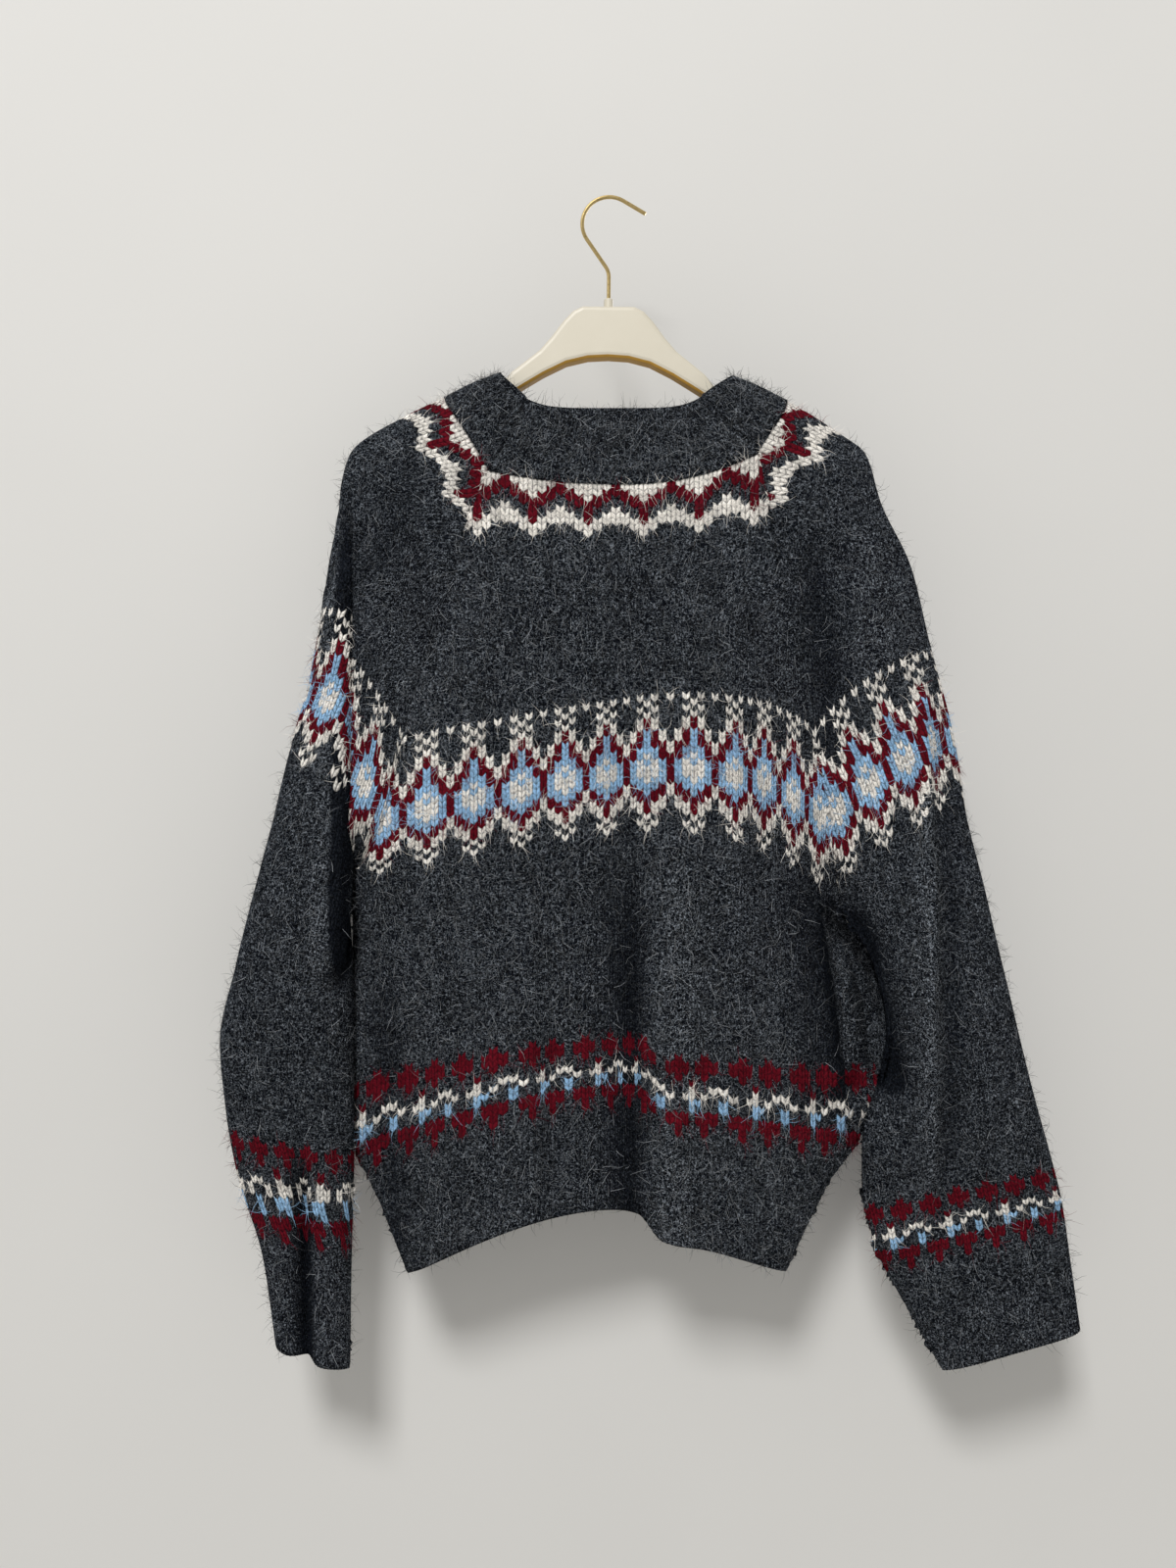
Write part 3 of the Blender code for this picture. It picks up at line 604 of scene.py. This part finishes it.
# Where stitches counted from the middle lie across the back, at the chest and at the hem.
CHEST_MARKS = [(-36, -228), (-30, -190), (-24, -150.5), (-18, -111.8), (-12, -72.5), (-6, -36.8),
               (0, -3), (6, 29.8), (12, 68.6), (18, 103.1), (24, 126), (30, 150.7), (36, 172),
               (42, 194), (48, 230)]
HEM_MARKS = [(-40, -243), (-32, -195.4), (-28, -165.8), (-24, -144.7), (-20, -122.1), (-16, -96.4),
             (-12, -62.6), (-8, -48.1), (-4, -20.2), (0, 0), (4, 16.3), (8, 27.6), (12, 55.8),
             (16, 75.9), (20, 109.3), (24, 129.4), (28, 158.8), (32, 178.1), (36, 209.9),
             (42, 250)]
NECK_STITCH, NECK_MIDDLE_X = 7.6, -3.0
CHEST_BEGINS, HEM_BEGINS = (10, 20), (60, 22)       # the row, and how many rows it takes


def along_back(station, points, travelled, centre):
    """Stitches on the back: wide and even at the neck, then as it was pulled when hung."""
    chest, hem = eased(station, *CHEST_BEGINS), eased(station, *HEM_BEGINS)
    xs = [point.x for point in points]

    def ruler(count):
        x = ((NECK_MIDDLE_X + NECK_STITCH * count) * (1 - chest)
             + between_marks(CHEST_MARKS, count) * chest * (1 - hem)
             + between_marks(HEM_MARKS, count) * chest * hem)
        if x <= xs[0] or x >= xs[-1]:
            return x - xs[0] if x <= xs[0] else travelled[-1] + x - xs[-1]
        k = bisect.bisect_right(xs, x) - 1
        share = (x - xs[k]) / (xs[k + 1] - xs[k])
        return travelled[k] + share * (travelled[k + 1] - travelled[k])
    return ruler


print(NECK_STITCHES, "stitches round the neck")

# %% [markdown]
# A piece is knitted in five steps: find how many columns cover it, lay every column on
# its course, dye the stitches from the chart, lift the legs off the cloth, and measure
# the flat cut that it would be sewn from.

# %% One knitted piece
def columns_needed(measured):
    """Quarter stitches left and right of the centre that cover every course."""
    left = right = 8
    while any(ruler(-left / 4) > -1 for _, _, ruler in measured):
        left += 1
    while any(ruler(right / 4) < travelled[-1] + 1 for _, travelled, ruler in measured):
        right += 1
    return left, right


def lay_out(measured, left, right, plump):
    """For each row and column: its place on the cloth, and how far it sinks there."""
    places, sunk = [], []
    for r, (points, travelled, ruler) in enumerate(measured):
        down = min(1.0, r / (len(measured) - 1) + 0.12)
        swell = plump * math.sin(math.pi * down)
        stops = [ruler(q / 4) for q in range(-left, right + 1)]
        to_seam = [max(0.0, min(stop, travelled[-1] - stop)) for stop in stops]
        places.append([point_at(points, travelled, stop) for stop in stops])
        sunk.append([SEAM_SINK * math.exp(-(gap / SEAM_WIDTH) ** 2) - swell for gap in to_seam])
    return places, sunk


def dye_stitches(mesh, name, yarn, left, wide):
    """Colours each stitch's faces and gives every corner its place in stitches and rows."""
    stitches = mesh.loops.layers.uv.new("stitches")
    dye = mesh.loops.layers.float_color.new("yarn")
    shade = random.Random(name)
    tones = {}
    for face in mesh.faces:
        r, c = divmod(min(vertex.index for vertex in face.verts), wide + 1)
        column = math.floor((c - left + 2.5) / 4)
        letter = yarn(column, r)
        tone = tones.setdefault((column, r), 1.0 + shade.uniform(-TONE_SPREAD, TONE_SPREAD))
        colour = [channel * tone for channel in YARN[letter]] + [0.0 if letter == "." else 1.0]
        for loop in face.loops:
            down, across = divmod(loop.vert.index, wide + 1)
            loop[stitches].uv = ((across - left) / 4, -down)
            loop[dye] = colour
    return stitches


def cut_size(measured):
    """Width, length and area of the flat cut, in metres, measured along the cloth."""
    drops = [sum((point_at(b[0], b[1], b[1][-1] * k / 8) - point_at(a[0], a[1], a[1][-1] * k / 8)
                  ).length for k in range(9)) / 9 for a, b in zip(measured, measured[1:])]
    area = sum(m[1][-1] * drop for m, drop in zip(measured, drops)) * MM * MM
    return max(m[1][-1] for m in measured) * MM, sum(drops) * MM, area


def into_scene(name, mesh):
    """An object made from a finished bmesh."""
    data = bpy.data.meshes.new(name)
    mesh.to_mesh(data)
    mesh.free()
    thing = bpy.data.objects.new(name, data)
    scene.collection.objects.link(thing)
    return thing


def knit(name, stations, course, yarn, outward, wall=WALL, rulers=even(), plump=0.0):
    """One knitted piece as an open grid with its yarns, its wall and its cut size."""
    measured = []
    for station in stations:
        points, centre = course(station)
        travelled = distances(points)
        measured.append((points, travelled, rulers(station, points, travelled, centre)))
    left, right = columns_needed(measured)
    wide, tall = left + right, len(stations) - 1
    places, sunk = lay_out(measured, left, right, plump)

    mesh = bmesh.new()
    bmesh.ops.create_grid(mesh, x_segments=wide, y_segments=tall, size=1.0)
    stand = mesh.verts.layers.float.new("stand")
    brushed = mesh.verts.layers.float.new("brushed")
    mesh.verts.ensure_lookup_table()
    for r in range(tall + 1):
        for c in range(wide + 1):
            vertex, q = mesh.verts[r * (wide + 1) + c], c - left
            push = (SLANT, 0.0, -SLANT, 0.0)[q % 4]
            place = places[r][c]
            if 0 < r < tall and push:
                other = places[r + (1 if push > 0 else -1)][c]
                place = place.lerp(other, abs(push))
            vertex.co = place * MM
            # painted fold shade, read later by the wool's material and by the nap
            vertex[brushed] = painted_fold_light_at(place)
            vertex[stand] = (LEG_STAND if q % 2 else -LEG_SINK) - sunk[r][c]

    stitches = dye_stitches(mesh, name, yarn, left, wide)
    bmesh.ops.remove_doubles(mesh, verts=mesh.verts, dist=SAME_PLACE)
    bmesh.ops.dissolve_degenerate(mesh, edges=mesh.edges, dist=SAME_PLACE)
    mesh.normal_update()
    facing = sum((f.normal * f.calc_area() for f in mesh.faces
                  if abs(f.loops[0][stitches].uv.x) < 3), Vector())
    if facing.dot(Vector(outward)) < 0:
        bmesh.ops.reverse_faces(mesh, faces=mesh.faces)
        mesh.normal_update()
    for vertex in mesh.verts:
        vertex.co += vertex.normal * (wall / 2 + vertex[stand]) * MM
    piece = into_scene(name, mesh)
    piece.data.shade_smooth()
    thick = piece.modifiers.new("wall", "SOLIDIFY")
    thick.thickness = wall * MM
    thick.offset = -1.0
    width, length, area = cut_size(measured)
    piece["flat"], piece["area"] = (width, length), area
    print(name, len(piece.data.polygons), "faces,", round(width * 1000), "mm wide,",
          round(area, 4), "square metres")
    return piece


print("walls:", WALL, "mm thick")

# %% Knit the eight pieces
def widened(extra):
    """Stitches pulled wider by the hanger at the neck end."""
    return lambda station: STITCH + extra * (1 - smoothstep(station / 25))


def left_sleeve_width(station):
    """Wide at the neck as well, and pulled narrow towards the cuff."""
    return widened(2.6)(station) - 0.6 * eased(station, 70, 40)


ACROSS_BACK, ACROSS_FRONT = (0, -1, 0), (0, 1, 0)
cloth = {
    "back": knit("knitted_back", BODY_ROWS, back_course, BODY_YARN, ACROSS_BACK,
                 rulers=along_back),
    "front_left": knit("knitted_front_left", BODY_ROWS, lambda row: front_course(row, "left"),
                       BODY_YARN, ACROSS_FRONT, rulers=even(widened(1.6))),
    "front_right": knit("knitted_front_right", BODY_ROWS, lambda row: front_course(row, "right"),
                        BODY_YARN, ACROSS_FRONT, rulers=even(widened(1.6))),
    "sleeve_left": knit("knitted_sleeve_left", SLEEVE_ROWS,
                        lambda row: sleeve_course(LEFT_SLEEVE, row),
                        yarns(0, 1, LONG_CUFF, CUFF_START), (-1, 0, 0),
                        rulers=even(left_sleeve_width)),
    "sleeve_right": knit("knitted_sleeve_right", SLEEVE_ROWS,
                         lambda row: sleeve_course(RIGHT_SLEEVE, row),
                         yarns(0, 0, DOG_TOOTH, CUFF_START), (1, 0, 0),
                         rulers=even(widened(2.8))),
    "neckband": knit("knitted_neckband", BAND_ROWS, neckband_course, ground, ACROSS_BACK,
                     4.6, rulers=round_the_neck, plump=1.3),
    "front_band_left": knit("knitted_band_left", EDGING_ROWS,
                            lambda row: front_course(row, "under"), ground, ACROSS_FRONT),
    "front_band_right": knit("knitted_band_right", EDGING_ROWS,
                             lambda row: front_course(row, "over"), ground, ACROSS_FRONT)}

# %% [markdown]
# ## The wool
# Brushed wool is not one colour: pale hairs lie over a dark ground, and each leg is a
# strand twisted round itself. The material takes the yarn's colour from the cloth's own
# attribute, paints shade between the legs, scatters fine hairs over it, and bumps each leg
# into a grain that thins at both ends. The pattern is laid in stitches, so it bends with
# the cloth. A second attribute holds painted fold shade and thins the hairs deep in a fold.

# %% Helpers for materials
def new_material(name, roughness):
    """A material with its node tree and its main shader."""
    surface = bpy.data.materials.new(name)
    surface.use_nodes = True
    shader = surface.node_tree.nodes["Principled BSDF"]
    shader.inputs["Roughness"].default_value = roughness
    return surface, surface.node_tree, shader


def new_group(name, **sockets):
    """A node group, what enters it and what leaves it; sockets are (way, kind) pairs."""
    tree = bpy.data.node_groups.new(name, "ShaderNodeTree")
    for socket, (way, kind) in sockets.items():
        tree.interface.new_socket(socket, in_out=way, socket_type="NodeSocket" + kind)
    return tree, tree.nodes.new("NodeGroupInput").outputs, tree.nodes.new("NodeGroupOutput").inputs


def add(tree, kind, **values):
    """A node with some inputs set by name. A Mix is of colours, a VectorMath scales."""
    node = tree.nodes.new("ShaderNode" + kind)
    if kind == "Mix":
        node.data_type = "RGBA"
    if kind == "VectorMath":
        node.operation = "SCALE"
    for name, value in values.items():
        node.inputs[name.replace("_", " ")].default_value = value
    return node


def attribute(tree, name):
    node = add(tree, "Attribute")
    node.attribute_name = name
    return node.outputs


def maths(tree, kind, *values):
    """The result of a maths node on numbers or on other nodes' outputs."""
    node = tree.nodes.new("ShaderNodeMath")
    node.operation = kind
    for socket, value in zip(node.inputs, values):
        if isinstance(value, (int, float)):
            socket.default_value = value
        else:
            tree.links.new(value, socket)
    return node.outputs["Value"]


def join(tree, *pairs):
    """Links, each from an output to an input."""
    for output, socket in pairs:
        tree.links.new(output, socket)


def clouded(tree, first, second, **noise):
    """A colour that drifts between two over the object, and the noise that it follows."""
    clouds, tone = add(tree, "TexNoise", **noise), add(tree, "Mix", A=(*first, 1), B=(*second, 1))
    join(tree, (add(tree, "TexCoord").outputs["Object"], clouds.inputs["Vector"]),
         (clouds.outputs["Fac"], tone.inputs["Factor"]))
    return tone.outputs["Result"], clouds.outputs["Fac"]


print("materials so far:", len(bpy.data.materials))

# %% Hairs and legs
HAIR_LINES = [((230, 230, 260), 0.022), ((400, 330, 170), 0.024), ((170, 200, 420), 0.024)]
# The second colour is painted shade, mixed in between the legs of each stitch.
PALE_HAIR, PAINTED_SHADE_BETWEEN_LEGS = (0.20, 0.222, 0.25, 1), (0.005, 0.006, 0.009, 1)


def hairy_group():
    """Hairs and heather: from a yarn colour to a mottled one, and a fine height."""
    tree, entry, leave = new_group(
        "hairs_over_yarn", Yarn=("INPUT", "Color"), Hair=("INPUT", "Color"),
        Place=("INPUT", "Vector"), Amount=("INPUT", "Float"), Speckle=("INPUT", "Float"),
        Colour=("OUTPUT", "Color"), Height=("OUTPUT", "Float"))

    def noise(scale, stretch, detail):
        mapping = add(tree, "Mapping", Scale=stretch)
        texture = add(tree, "TexNoise", Scale=scale, Detail=detail)
        join(tree, (entry["Place"], mapping.inputs["Vector"]),
             (mapping.outputs["Vector"], texture.inputs["Vector"]))
        return texture.outputs["Fac"]

    def ramp(source, low, high):
        node = add(tree, "MapRange", From_Min=low, From_Max=high)
        node.interpolation_type = "SMOOTHSTEP"
        join(tree, (source, node.inputs["Value"]))
        return node.outputs["Result"]

    def threads(stretch, thin):
        away = maths(tree, "ABSOLUTE", maths(tree, "SUBTRACT", noise(1.0, stretch, 1.0), 0.5))
        return ramp(away, thin, thin * 0.25)

    lines = [threads(stretch, thin) for stretch, thin in HAIR_LINES]
    hairs = maths(tree, "MAXIMUM", maths(tree, "MAXIMUM", lines[0], lines[1]), lines[2])
    heather, clouds = noise(640.0, (1, 1, 1), 2.0), noise(38.0, (1, 1, 1), 2.0)
    lighten, shade = add(tree, "Mix"), add(tree, "VectorMath")
    grain = maths(tree, "MULTIPLY", ramp(heather, 0.36, 0.64), entry["Speckle"])
    tone = maths(tree, "ADD", grain, maths(tree, "MULTIPLY", ramp(clouds, 0.3, 0.7), 0.25))
    level = maths(tree, "SUBTRACT", 0.90, maths(tree, "MULTIPLY", entry["Speckle"], 0.5))
    join(tree, (maths(tree, "MULTIPLY", hairs, entry["Amount"]), lighten.inputs["Factor"]),
         (entry["Yarn"], lighten.inputs["A"]), (entry["Hair"], lighten.inputs["B"]),
         (lighten.outputs["Result"], shade.inputs[0]),
         (maths(tree, "ADD", tone, level), shade.inputs["Scale"]),
         (shade.outputs["Vector"], leave["Colour"]),
         (maths(tree, "ADD", maths(tree, "MULTIPLY", hairs, 0.4), heather), leave["Height"]))
    return tree


def leg_group():
    """The height of a leg of a stitch: round across, thinned at its two ends."""
    tree, entry, leave = new_group("leg_of_a_stitch", Stitches=("INPUT", "Vector"),
                                   Height=("OUTPUT", "Float"))
    split = add(tree, "SeparateXYZ")
    join(tree, (entry["Stitches"], split.inputs["Vector"]))
    across = maths(tree, "MULTIPLY", maths(tree, "PINGPONG", split.outputs["X"], 0.5), 2.0)
    side = maths(tree, "SINE", maths(tree, "MULTIPLY", across, math.pi))
    along = maths(tree, "MULTIPLY", maths(tree, "FRACT", split.outputs["Y"]), math.pi)
    end = maths(tree, "POWER", maths(tree, "SINE", along), 0.45)
    join(tree, (maths(tree, "MULTIPLY", maths(tree, "POWER", side, 0.6), end), leave["Height"]))
    return tree


print("hair lines:", len(HAIR_LINES), "directions")

# %% The wool's material
def knitted_wool():
    """Yarn, painted shade between its legs, hairs over both, and the bumps of the legs."""
    surface, tree, shader = new_material("brushed_wool", 0.9)
    shader.inputs["Specular IOR Level"].default_value = 0.02
    yarn, brushed = attribute(tree, "yarn"), attribute(tree, "brushed")
    stitches = add(tree, "UVMap")
    stitches.uv_map = "stitches"
    hairs, leg = add(tree, "Group"), add(tree, "Group")
    hairs.node_tree, leg.node_tree = hairy_group(), leg_group()
    # Painted shade between the legs: where a leg lies low the yarn colour is mixed toward
    # near-black.
    gap = add(tree, "MapRange", From_Min=0.15, From_Max=0.75, To_Min=0.72, To_Max=0.0)
    gap.interpolation_type = "SMOOTHSTEP"
    behind, hair = add(tree, "Mix", B=PAINTED_SHADE_BETWEEN_LEGS), add(tree, "Mix", A=PALE_HAIR)
    speckle = add(tree, "MapRange", To_Min=1.3, To_Max=0.45)
    # Painted fold shade: deep in a fold fewer pale hairs show, so the wool renders darker there.
    fold_shaded_hairs = add(tree, "MapRange", From_Min=0.1, From_Max=1.0, To_Min=0.05, To_Max=1.45)
    coarse, fine = add(tree, "Bump", Distance=0.0011), add(tree, "Bump", Distance=0.0004)
    join(tree, (stitches.outputs["UV"], leg.inputs["Stitches"]),
         (leg.outputs["Height"], gap.inputs["Value"]),
         (gap.outputs["Result"], behind.inputs["Factor"]),
         (yarn["Color"], behind.inputs["A"]),
         (behind.outputs["Result"], hairs.inputs["Yarn"]),
         (yarn["Alpha"], speckle.inputs["Value"]),
         (speckle.outputs["Result"], hairs.inputs["Speckle"]),
         (add(tree, "TexCoord").outputs["Object"], hairs.inputs["Place"]),
         (yarn["Alpha"], hair.inputs["Factor"]),
         (yarn["Color"], hair.inputs["B"]),
         (hair.outputs["Result"], hairs.inputs["Hair"]),
         (brushed["Fac"], fold_shaded_hairs.inputs["Value"]),
         (fold_shaded_hairs.outputs["Result"], hairs.inputs["Amount"]),
         (hairs.outputs["Colour"], shader.inputs["Base Color"]),
         (leg.outputs["Height"], coarse.inputs["Height"]),
         (hairs.outputs["Height"], fine.inputs["Height"]),
         (coarse.outputs["Normal"], fine.inputs["Normal"]),
         (fine.outputs["Normal"], shader.inputs["Normal"]))
    return surface


WOOL = knitted_wool()
for node, piece in cloth.items():
    piece.data.materials.append(WOOL)
    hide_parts(node)
    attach(piece, "root")
print("wool on", len(cloth), "pieces")

# %% [markdown]
# ## The nap
# Brushing lifts long hairs out of the yarn. They lie every way over the stitches and
# stand out as a faint halo at the edges. A nap is one long strip cut into threads, and
# each thread is laid on a spot of the cloth, bent once and tapered.

# %% The nap
HAIR_LENGTH, HAIR_WIDTH = (5.0, 15.0), 0.30
HAIR_STANDS, PAST_THE_SOLID = 6.5, 10.0     # how far a hair may reach out, in millimetres
# On ground yarn the hair count grows from the first number deep in a fold to the sum of both on a
# ridge: painted fold shade.
HAIRS_ON_COLOURS, HAIRS_ON_GROUND = 2.2, (0.1, 1.8)
COMBED_DOWN, RAISED = 0.35, 0.13            # shares of the hairs
GREY = (0.95, 1.0, 1.06)


def crowding(data):
    """Running total of how many hairs belong on each face of a piece."""
    dye, brushed = data.color_attributes["yarn"].data, data.attributes["brushed"].data
    least, more = HAIRS_ON_GROUND
    totals, total = [], 0.0
    for polygon in data.polygons:
        coloured = dye[polygon.loop_start].color[3] > 0.5
        # Fewer pale hairs where the painted fold shade is deep.
        total += polygon.area * (HAIRS_ON_COLOURS if coloured
                                 else least + more * brushed[polygon.vertices[0]].value)
        totals.append(total)
    return totals


def one_hair(chance, polygon, coloured):
    """The spine of a hair that starts on a face, and the direction across it."""
    normal = polygon.normal
    across = normal.cross(Vector([chance.gauss(0, 1) for _ in range(3)])).normalized()
    ahead = across.cross(normal)
    length = chance.uniform(*HAIR_LENGTH) * MM
    if coloured and chance.random() < COMBED_DOWN:
        ahead = (ahead * 0.35 + Vector((0, 0, -1))).normalized()
    rise = abs(chance.gauss(0.0, 0.18)) + (0.26 if chance.random() < RAISED else 0.03)
    rise = min(rise, HAIR_STANDS * MM / length)
    bend = across * chance.uniform(-0.5, 0.5) * length
    root = polygon.center + normal * 0.0001
    spine = [root,
             root + (ahead * 0.5 + normal * rise) * length + bend * 0.3,
             root + (ahead * 0.95 + normal * rise * 1.3) * length + bend]
    for place in spine:
        place.y = max(place.y, cad_box[0][1] - PAST_THE_SOLID * MM)
        place.y = min(place.y, cad_box[1][1] + PAST_THE_SOLID * MM)
    return spine, across


def brush_up(piece, count):
    """Hairs on the outside of a knitted piece, in the colour of the yarn below them."""
    chance = random.Random(piece.name)
    data = piece.data
    dye, totals = data.color_attributes["yarn"].data, crowding(data)
    half = HAIR_WIDTH * MM / 2
    mesh = bmesh.new()
    wide = 2 * count - 1
    bmesh.ops.create_grid(mesh, x_segments=wide, y_segments=2, size=1.0)
    mesh.verts.ensure_lookup_table()
    colour = mesh.loops.layers.float_color.new("yarn")
    gaps = [face for face in mesh.faces
            if min(v.index for v in face.verts) % (wide + 1) % 2 == 1]
    for k in range(count):
        polygon = data.polygons[bisect.bisect_left(totals, chance.uniform(0, totals[-1]))]
        own = dye[polygon.loop_start].color
        spine, across = one_hair(chance, polygon, own[3] > 0.5)
        pale = 0.012 + 0.40 * chance.random() ** 5
        tint = [channel * 1.05 for channel in own[:3]] if own[3] > 0.5 else [pale * g for g in GREY]
        for level, (place, reach) in enumerate(zip(spine, (half, half * 0.8, half * 0.25))):
            for side in (0, 1):
                vertex = mesh.verts[level * (wide + 1) + 2 * k + side]
                vertex.co = place + across * reach * (2 * side - 1)
                for loop in vertex.link_loops:
                    loop[colour] = (*tint, 1.0)
    bmesh.ops.delete(mesh, geom=gaps, context="FACES")
    nap = into_scene(piece.name + "_nap", mesh)
    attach(nap, "root")
    print(nap.name, len(nap.data.polygons), "faces")
    return nap


print("hairs up to", HAIR_LENGTH[1], "mm long")

# %% Lay the nap
def loose_hair():
    surface, tree, shader = new_material("loose_hair", 0.7)
    shader.inputs["Specular IOR Level"].default_value = 0.05
    mottle, shade = add(tree, "TexNoise", Scale=300.0), add(tree, "VectorMath")
    brighten = add(tree, "MapRange", To_Min=0.6, To_Max=1.4)
    join(tree, (add(tree, "TexCoord").outputs["Object"], mottle.inputs["Vector"]),
         (mottle.outputs["Fac"], brighten.inputs["Value"]),
         (attribute(tree, "yarn")["Color"], shade.inputs[0]),
         (brighten.outputs["Result"], shade.inputs["Scale"]),
         (shade.outputs["Vector"], shader.inputs["Base Color"]))
    return surface


LOOSE = loose_hair()
HAIRS_ON = {"back": 22000, "front_left": 7000, "front_right": 7000, "sleeve_left": 12000,
            "sleeve_right": 12000, "neckband": 6000}
naps = {node: brush_up(cloth[node], count) for node, count in HAIRS_ON.items()}
for nap in naps.values():
    nap.data.materials.append(LOOSE)

for node, piece in cloth.items():
    width, length = piece["flat"]
    min(piece["area"], width * length)
    print(node, "cut:", round(width, 3), "by", round(length, 3), "m")

# %% [markdown]
# ## The hanger
# A moulded shop hanger in cream plastic with a brass-coloured wire hook. Both keep the
# shape of the solid part and only take a finish.

# %% Hanger finishes
def cream_plastic():
    """Cream, with an amber tone where it faces down."""
    surface, tree, shader = new_material("cream_plastic", 0.38)
    cream, _ = clouded(tree, (0.64, 0.59, 0.475), (0.69, 0.64, 0.525), Scale=60.0, Detail=4.0)
    split = add(tree, "SeparateXYZ")
    under = add(tree, "MapRange", From_Min=-0.30, From_Max=-0.50)
    whole = add(tree, "Mix", B=(0.66, 0.36, 0.055, 1))
    ripple, bump = add(tree, "TexNoise", Scale=900.0), add(tree, "Bump", Distance=0.00004)
    join(tree, (add(tree, "NewGeometry").outputs["Normal"], split.inputs["Vector"]),
         (split.outputs["Z"], under.inputs["Value"]),
         (under.outputs["Result"], whole.inputs["Factor"]),
         (cream, whole.inputs["A"]),
         (whole.outputs["Result"], shader.inputs["Base Color"]),
         (add(tree, "TexCoord").outputs["Object"], ripple.inputs["Vector"]),
         (ripple.outputs["Fac"], bump.inputs["Height"]),
         (bump.outputs["Normal"], shader.inputs["Normal"]))
    return surface


def brass_wire():
    surface, tree, shader = new_material("brass_wire", 0.28)
    shader.inputs["Metallic"].default_value = 1.0
    tone, drawn = clouded(tree, (0.50, 0.36, 0.14), (0.72, 0.56, 0.27), Scale=450.0, Detail=5.0)
    rough = add(tree, "MapRange", To_Min=0.2, To_Max=0.42)
    join(tree, (drawn, rough.inputs["Value"]), (tone, shader.inputs["Base Color"]),
         (rough.outputs["Result"], shader.inputs["Roughness"]))
    return surface


def horn_button():
    surface, tree, shader = new_material("dark_button", 0.3)
    tone, _ = clouded(tree, (0.030, 0.022, 0.018), (0.13, 0.095, 0.07), Scale=160.0, Distortion=1.6)
    join(tree, (tone, shader.inputs["Base Color"]))
    return surface


def finish_node(name, surface):
    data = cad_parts[name].data
    data.materials.clear()
    data.materials.append(surface)


CREAM, BRASS, HORN = cream_plastic(), brass_wire(), horn_button()
for name in ("hanger_body", "hanger_boss"):
    finish_node(name, CREAM)
finish_node("hanger_hook", BRASS)
for number in range(1, 7):
    finish_node(f"button_{number}", HORN)
print("finished:", [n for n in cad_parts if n.startswith(("hanger", "button"))])

# %% [markdown]
# ## The room
# A pale wall close behind takes the garment's soft shadow, and a pale floor lies below.
# A large soft lamp hangs high in front and a weaker one lights the hidden side. The wall
# shows only from its front and holds back no light, so the garment can be looked at from
# behind too.

# %% Wall and floor
def pale_surface(name, colour, one_sided):
    surface, tree, shader = new_material(name, 0.9)
    tone, _ = clouded(tree, [c * 0.97 for c in colour], [c * 1.03 for c in colour], Scale=3.0)
    join(tree, (tone, shader.inputs["Base Color"]))
    if one_sided:
        mix = add(tree, "MixShader")
        join(tree, (add(tree, "NewGeometry").outputs["Backfacing"], mix.inputs["Fac"]),
             (shader.outputs["BSDF"], mix.inputs[1]),
             (add(tree, "BsdfTransparent").outputs["BSDF"], mix.inputs[2]),
             (mix.outputs["Shader"], tree.nodes["Material Output"].inputs["Surface"]))
    return surface


def plane(name, corners, surface):
    mesh = bmesh.new()
    mesh.faces.new([mesh.verts.new(corner) for corner in corners])
    thing = into_scene(name, mesh)
    thing.data.materials.append(surface)
    return thing


WALL_Y, FLOOR_Z = 0.10, -1.26
wall = plane("wall", [(-4, WALL_Y, FLOOR_Z), (4, WALL_Y, FLOOR_Z), (4, WALL_Y, 3),
                      (-4, WALL_Y, 3)], pale_surface("painted_wall", (0.70, 0.69, 0.665), True))
wall.visible_shadow = wall.visible_diffuse = False
plane("floor", [(-5, -5, FLOOR_Z), (5, -5, FLOOR_Z), (5, 5, FLOOR_Z), (-5, 5, FLOOR_Z)],
      pale_surface("pale_floor", (0.66, 0.65, 0.63), False))
print("wall:", WALL_Y, "m behind the hook")

# %% Lights
def soft_lamp(name, place, aim, size, strength):
    """A square soft box; strength is the share of a colour that it shows on its own."""
    lamp = bpy.data.lights.new(name, "AREA")
    lamp.shape, lamp.size = "SQUARE", size
    reach = Vector(place) - Vector(aim)
    lamp.energy = strength * math.pi ** 2 * reach.length_squared
    thing = bpy.data.objects.new(name, lamp)
    thing.location = place
    thing.rotation_euler = reach.to_track_quat("Z", "Y").to_euler()
    scene.collection.objects.link(thing)


MIDDLE_OF_GARMENT = (0.0, 0.0, -0.5)
soft_lamp("ceiling", (-0.85, -3.6, 2.6), MIDDLE_OF_GARMENT, 1.1, 0.70)
soft_lamp("behind", (0.9, 2.2, 0.5), MIDDLE_OF_GARMENT, 1.0, 0.45)
world = bpy.data.worlds.new("room")
world.use_nodes = True
room = world.node_tree
backdrop = room.nodes["Background"]
backdrop.inputs["Color"].default_value = (1.0, 0.99, 0.97, 1)
seen = add(room, "LightPath").outputs["Is Camera Ray"]
join(room, (maths(room, "MULTIPLY_ADD", seen, 0.30, 0.36), backdrop.inputs["Strength"]))
scene.world = world
scene.view_settings.view_transform = "Standard"
print("lamps:", bpy.data.lights.keys())

# %% Update the scene
bpy.context.view_layer.update()
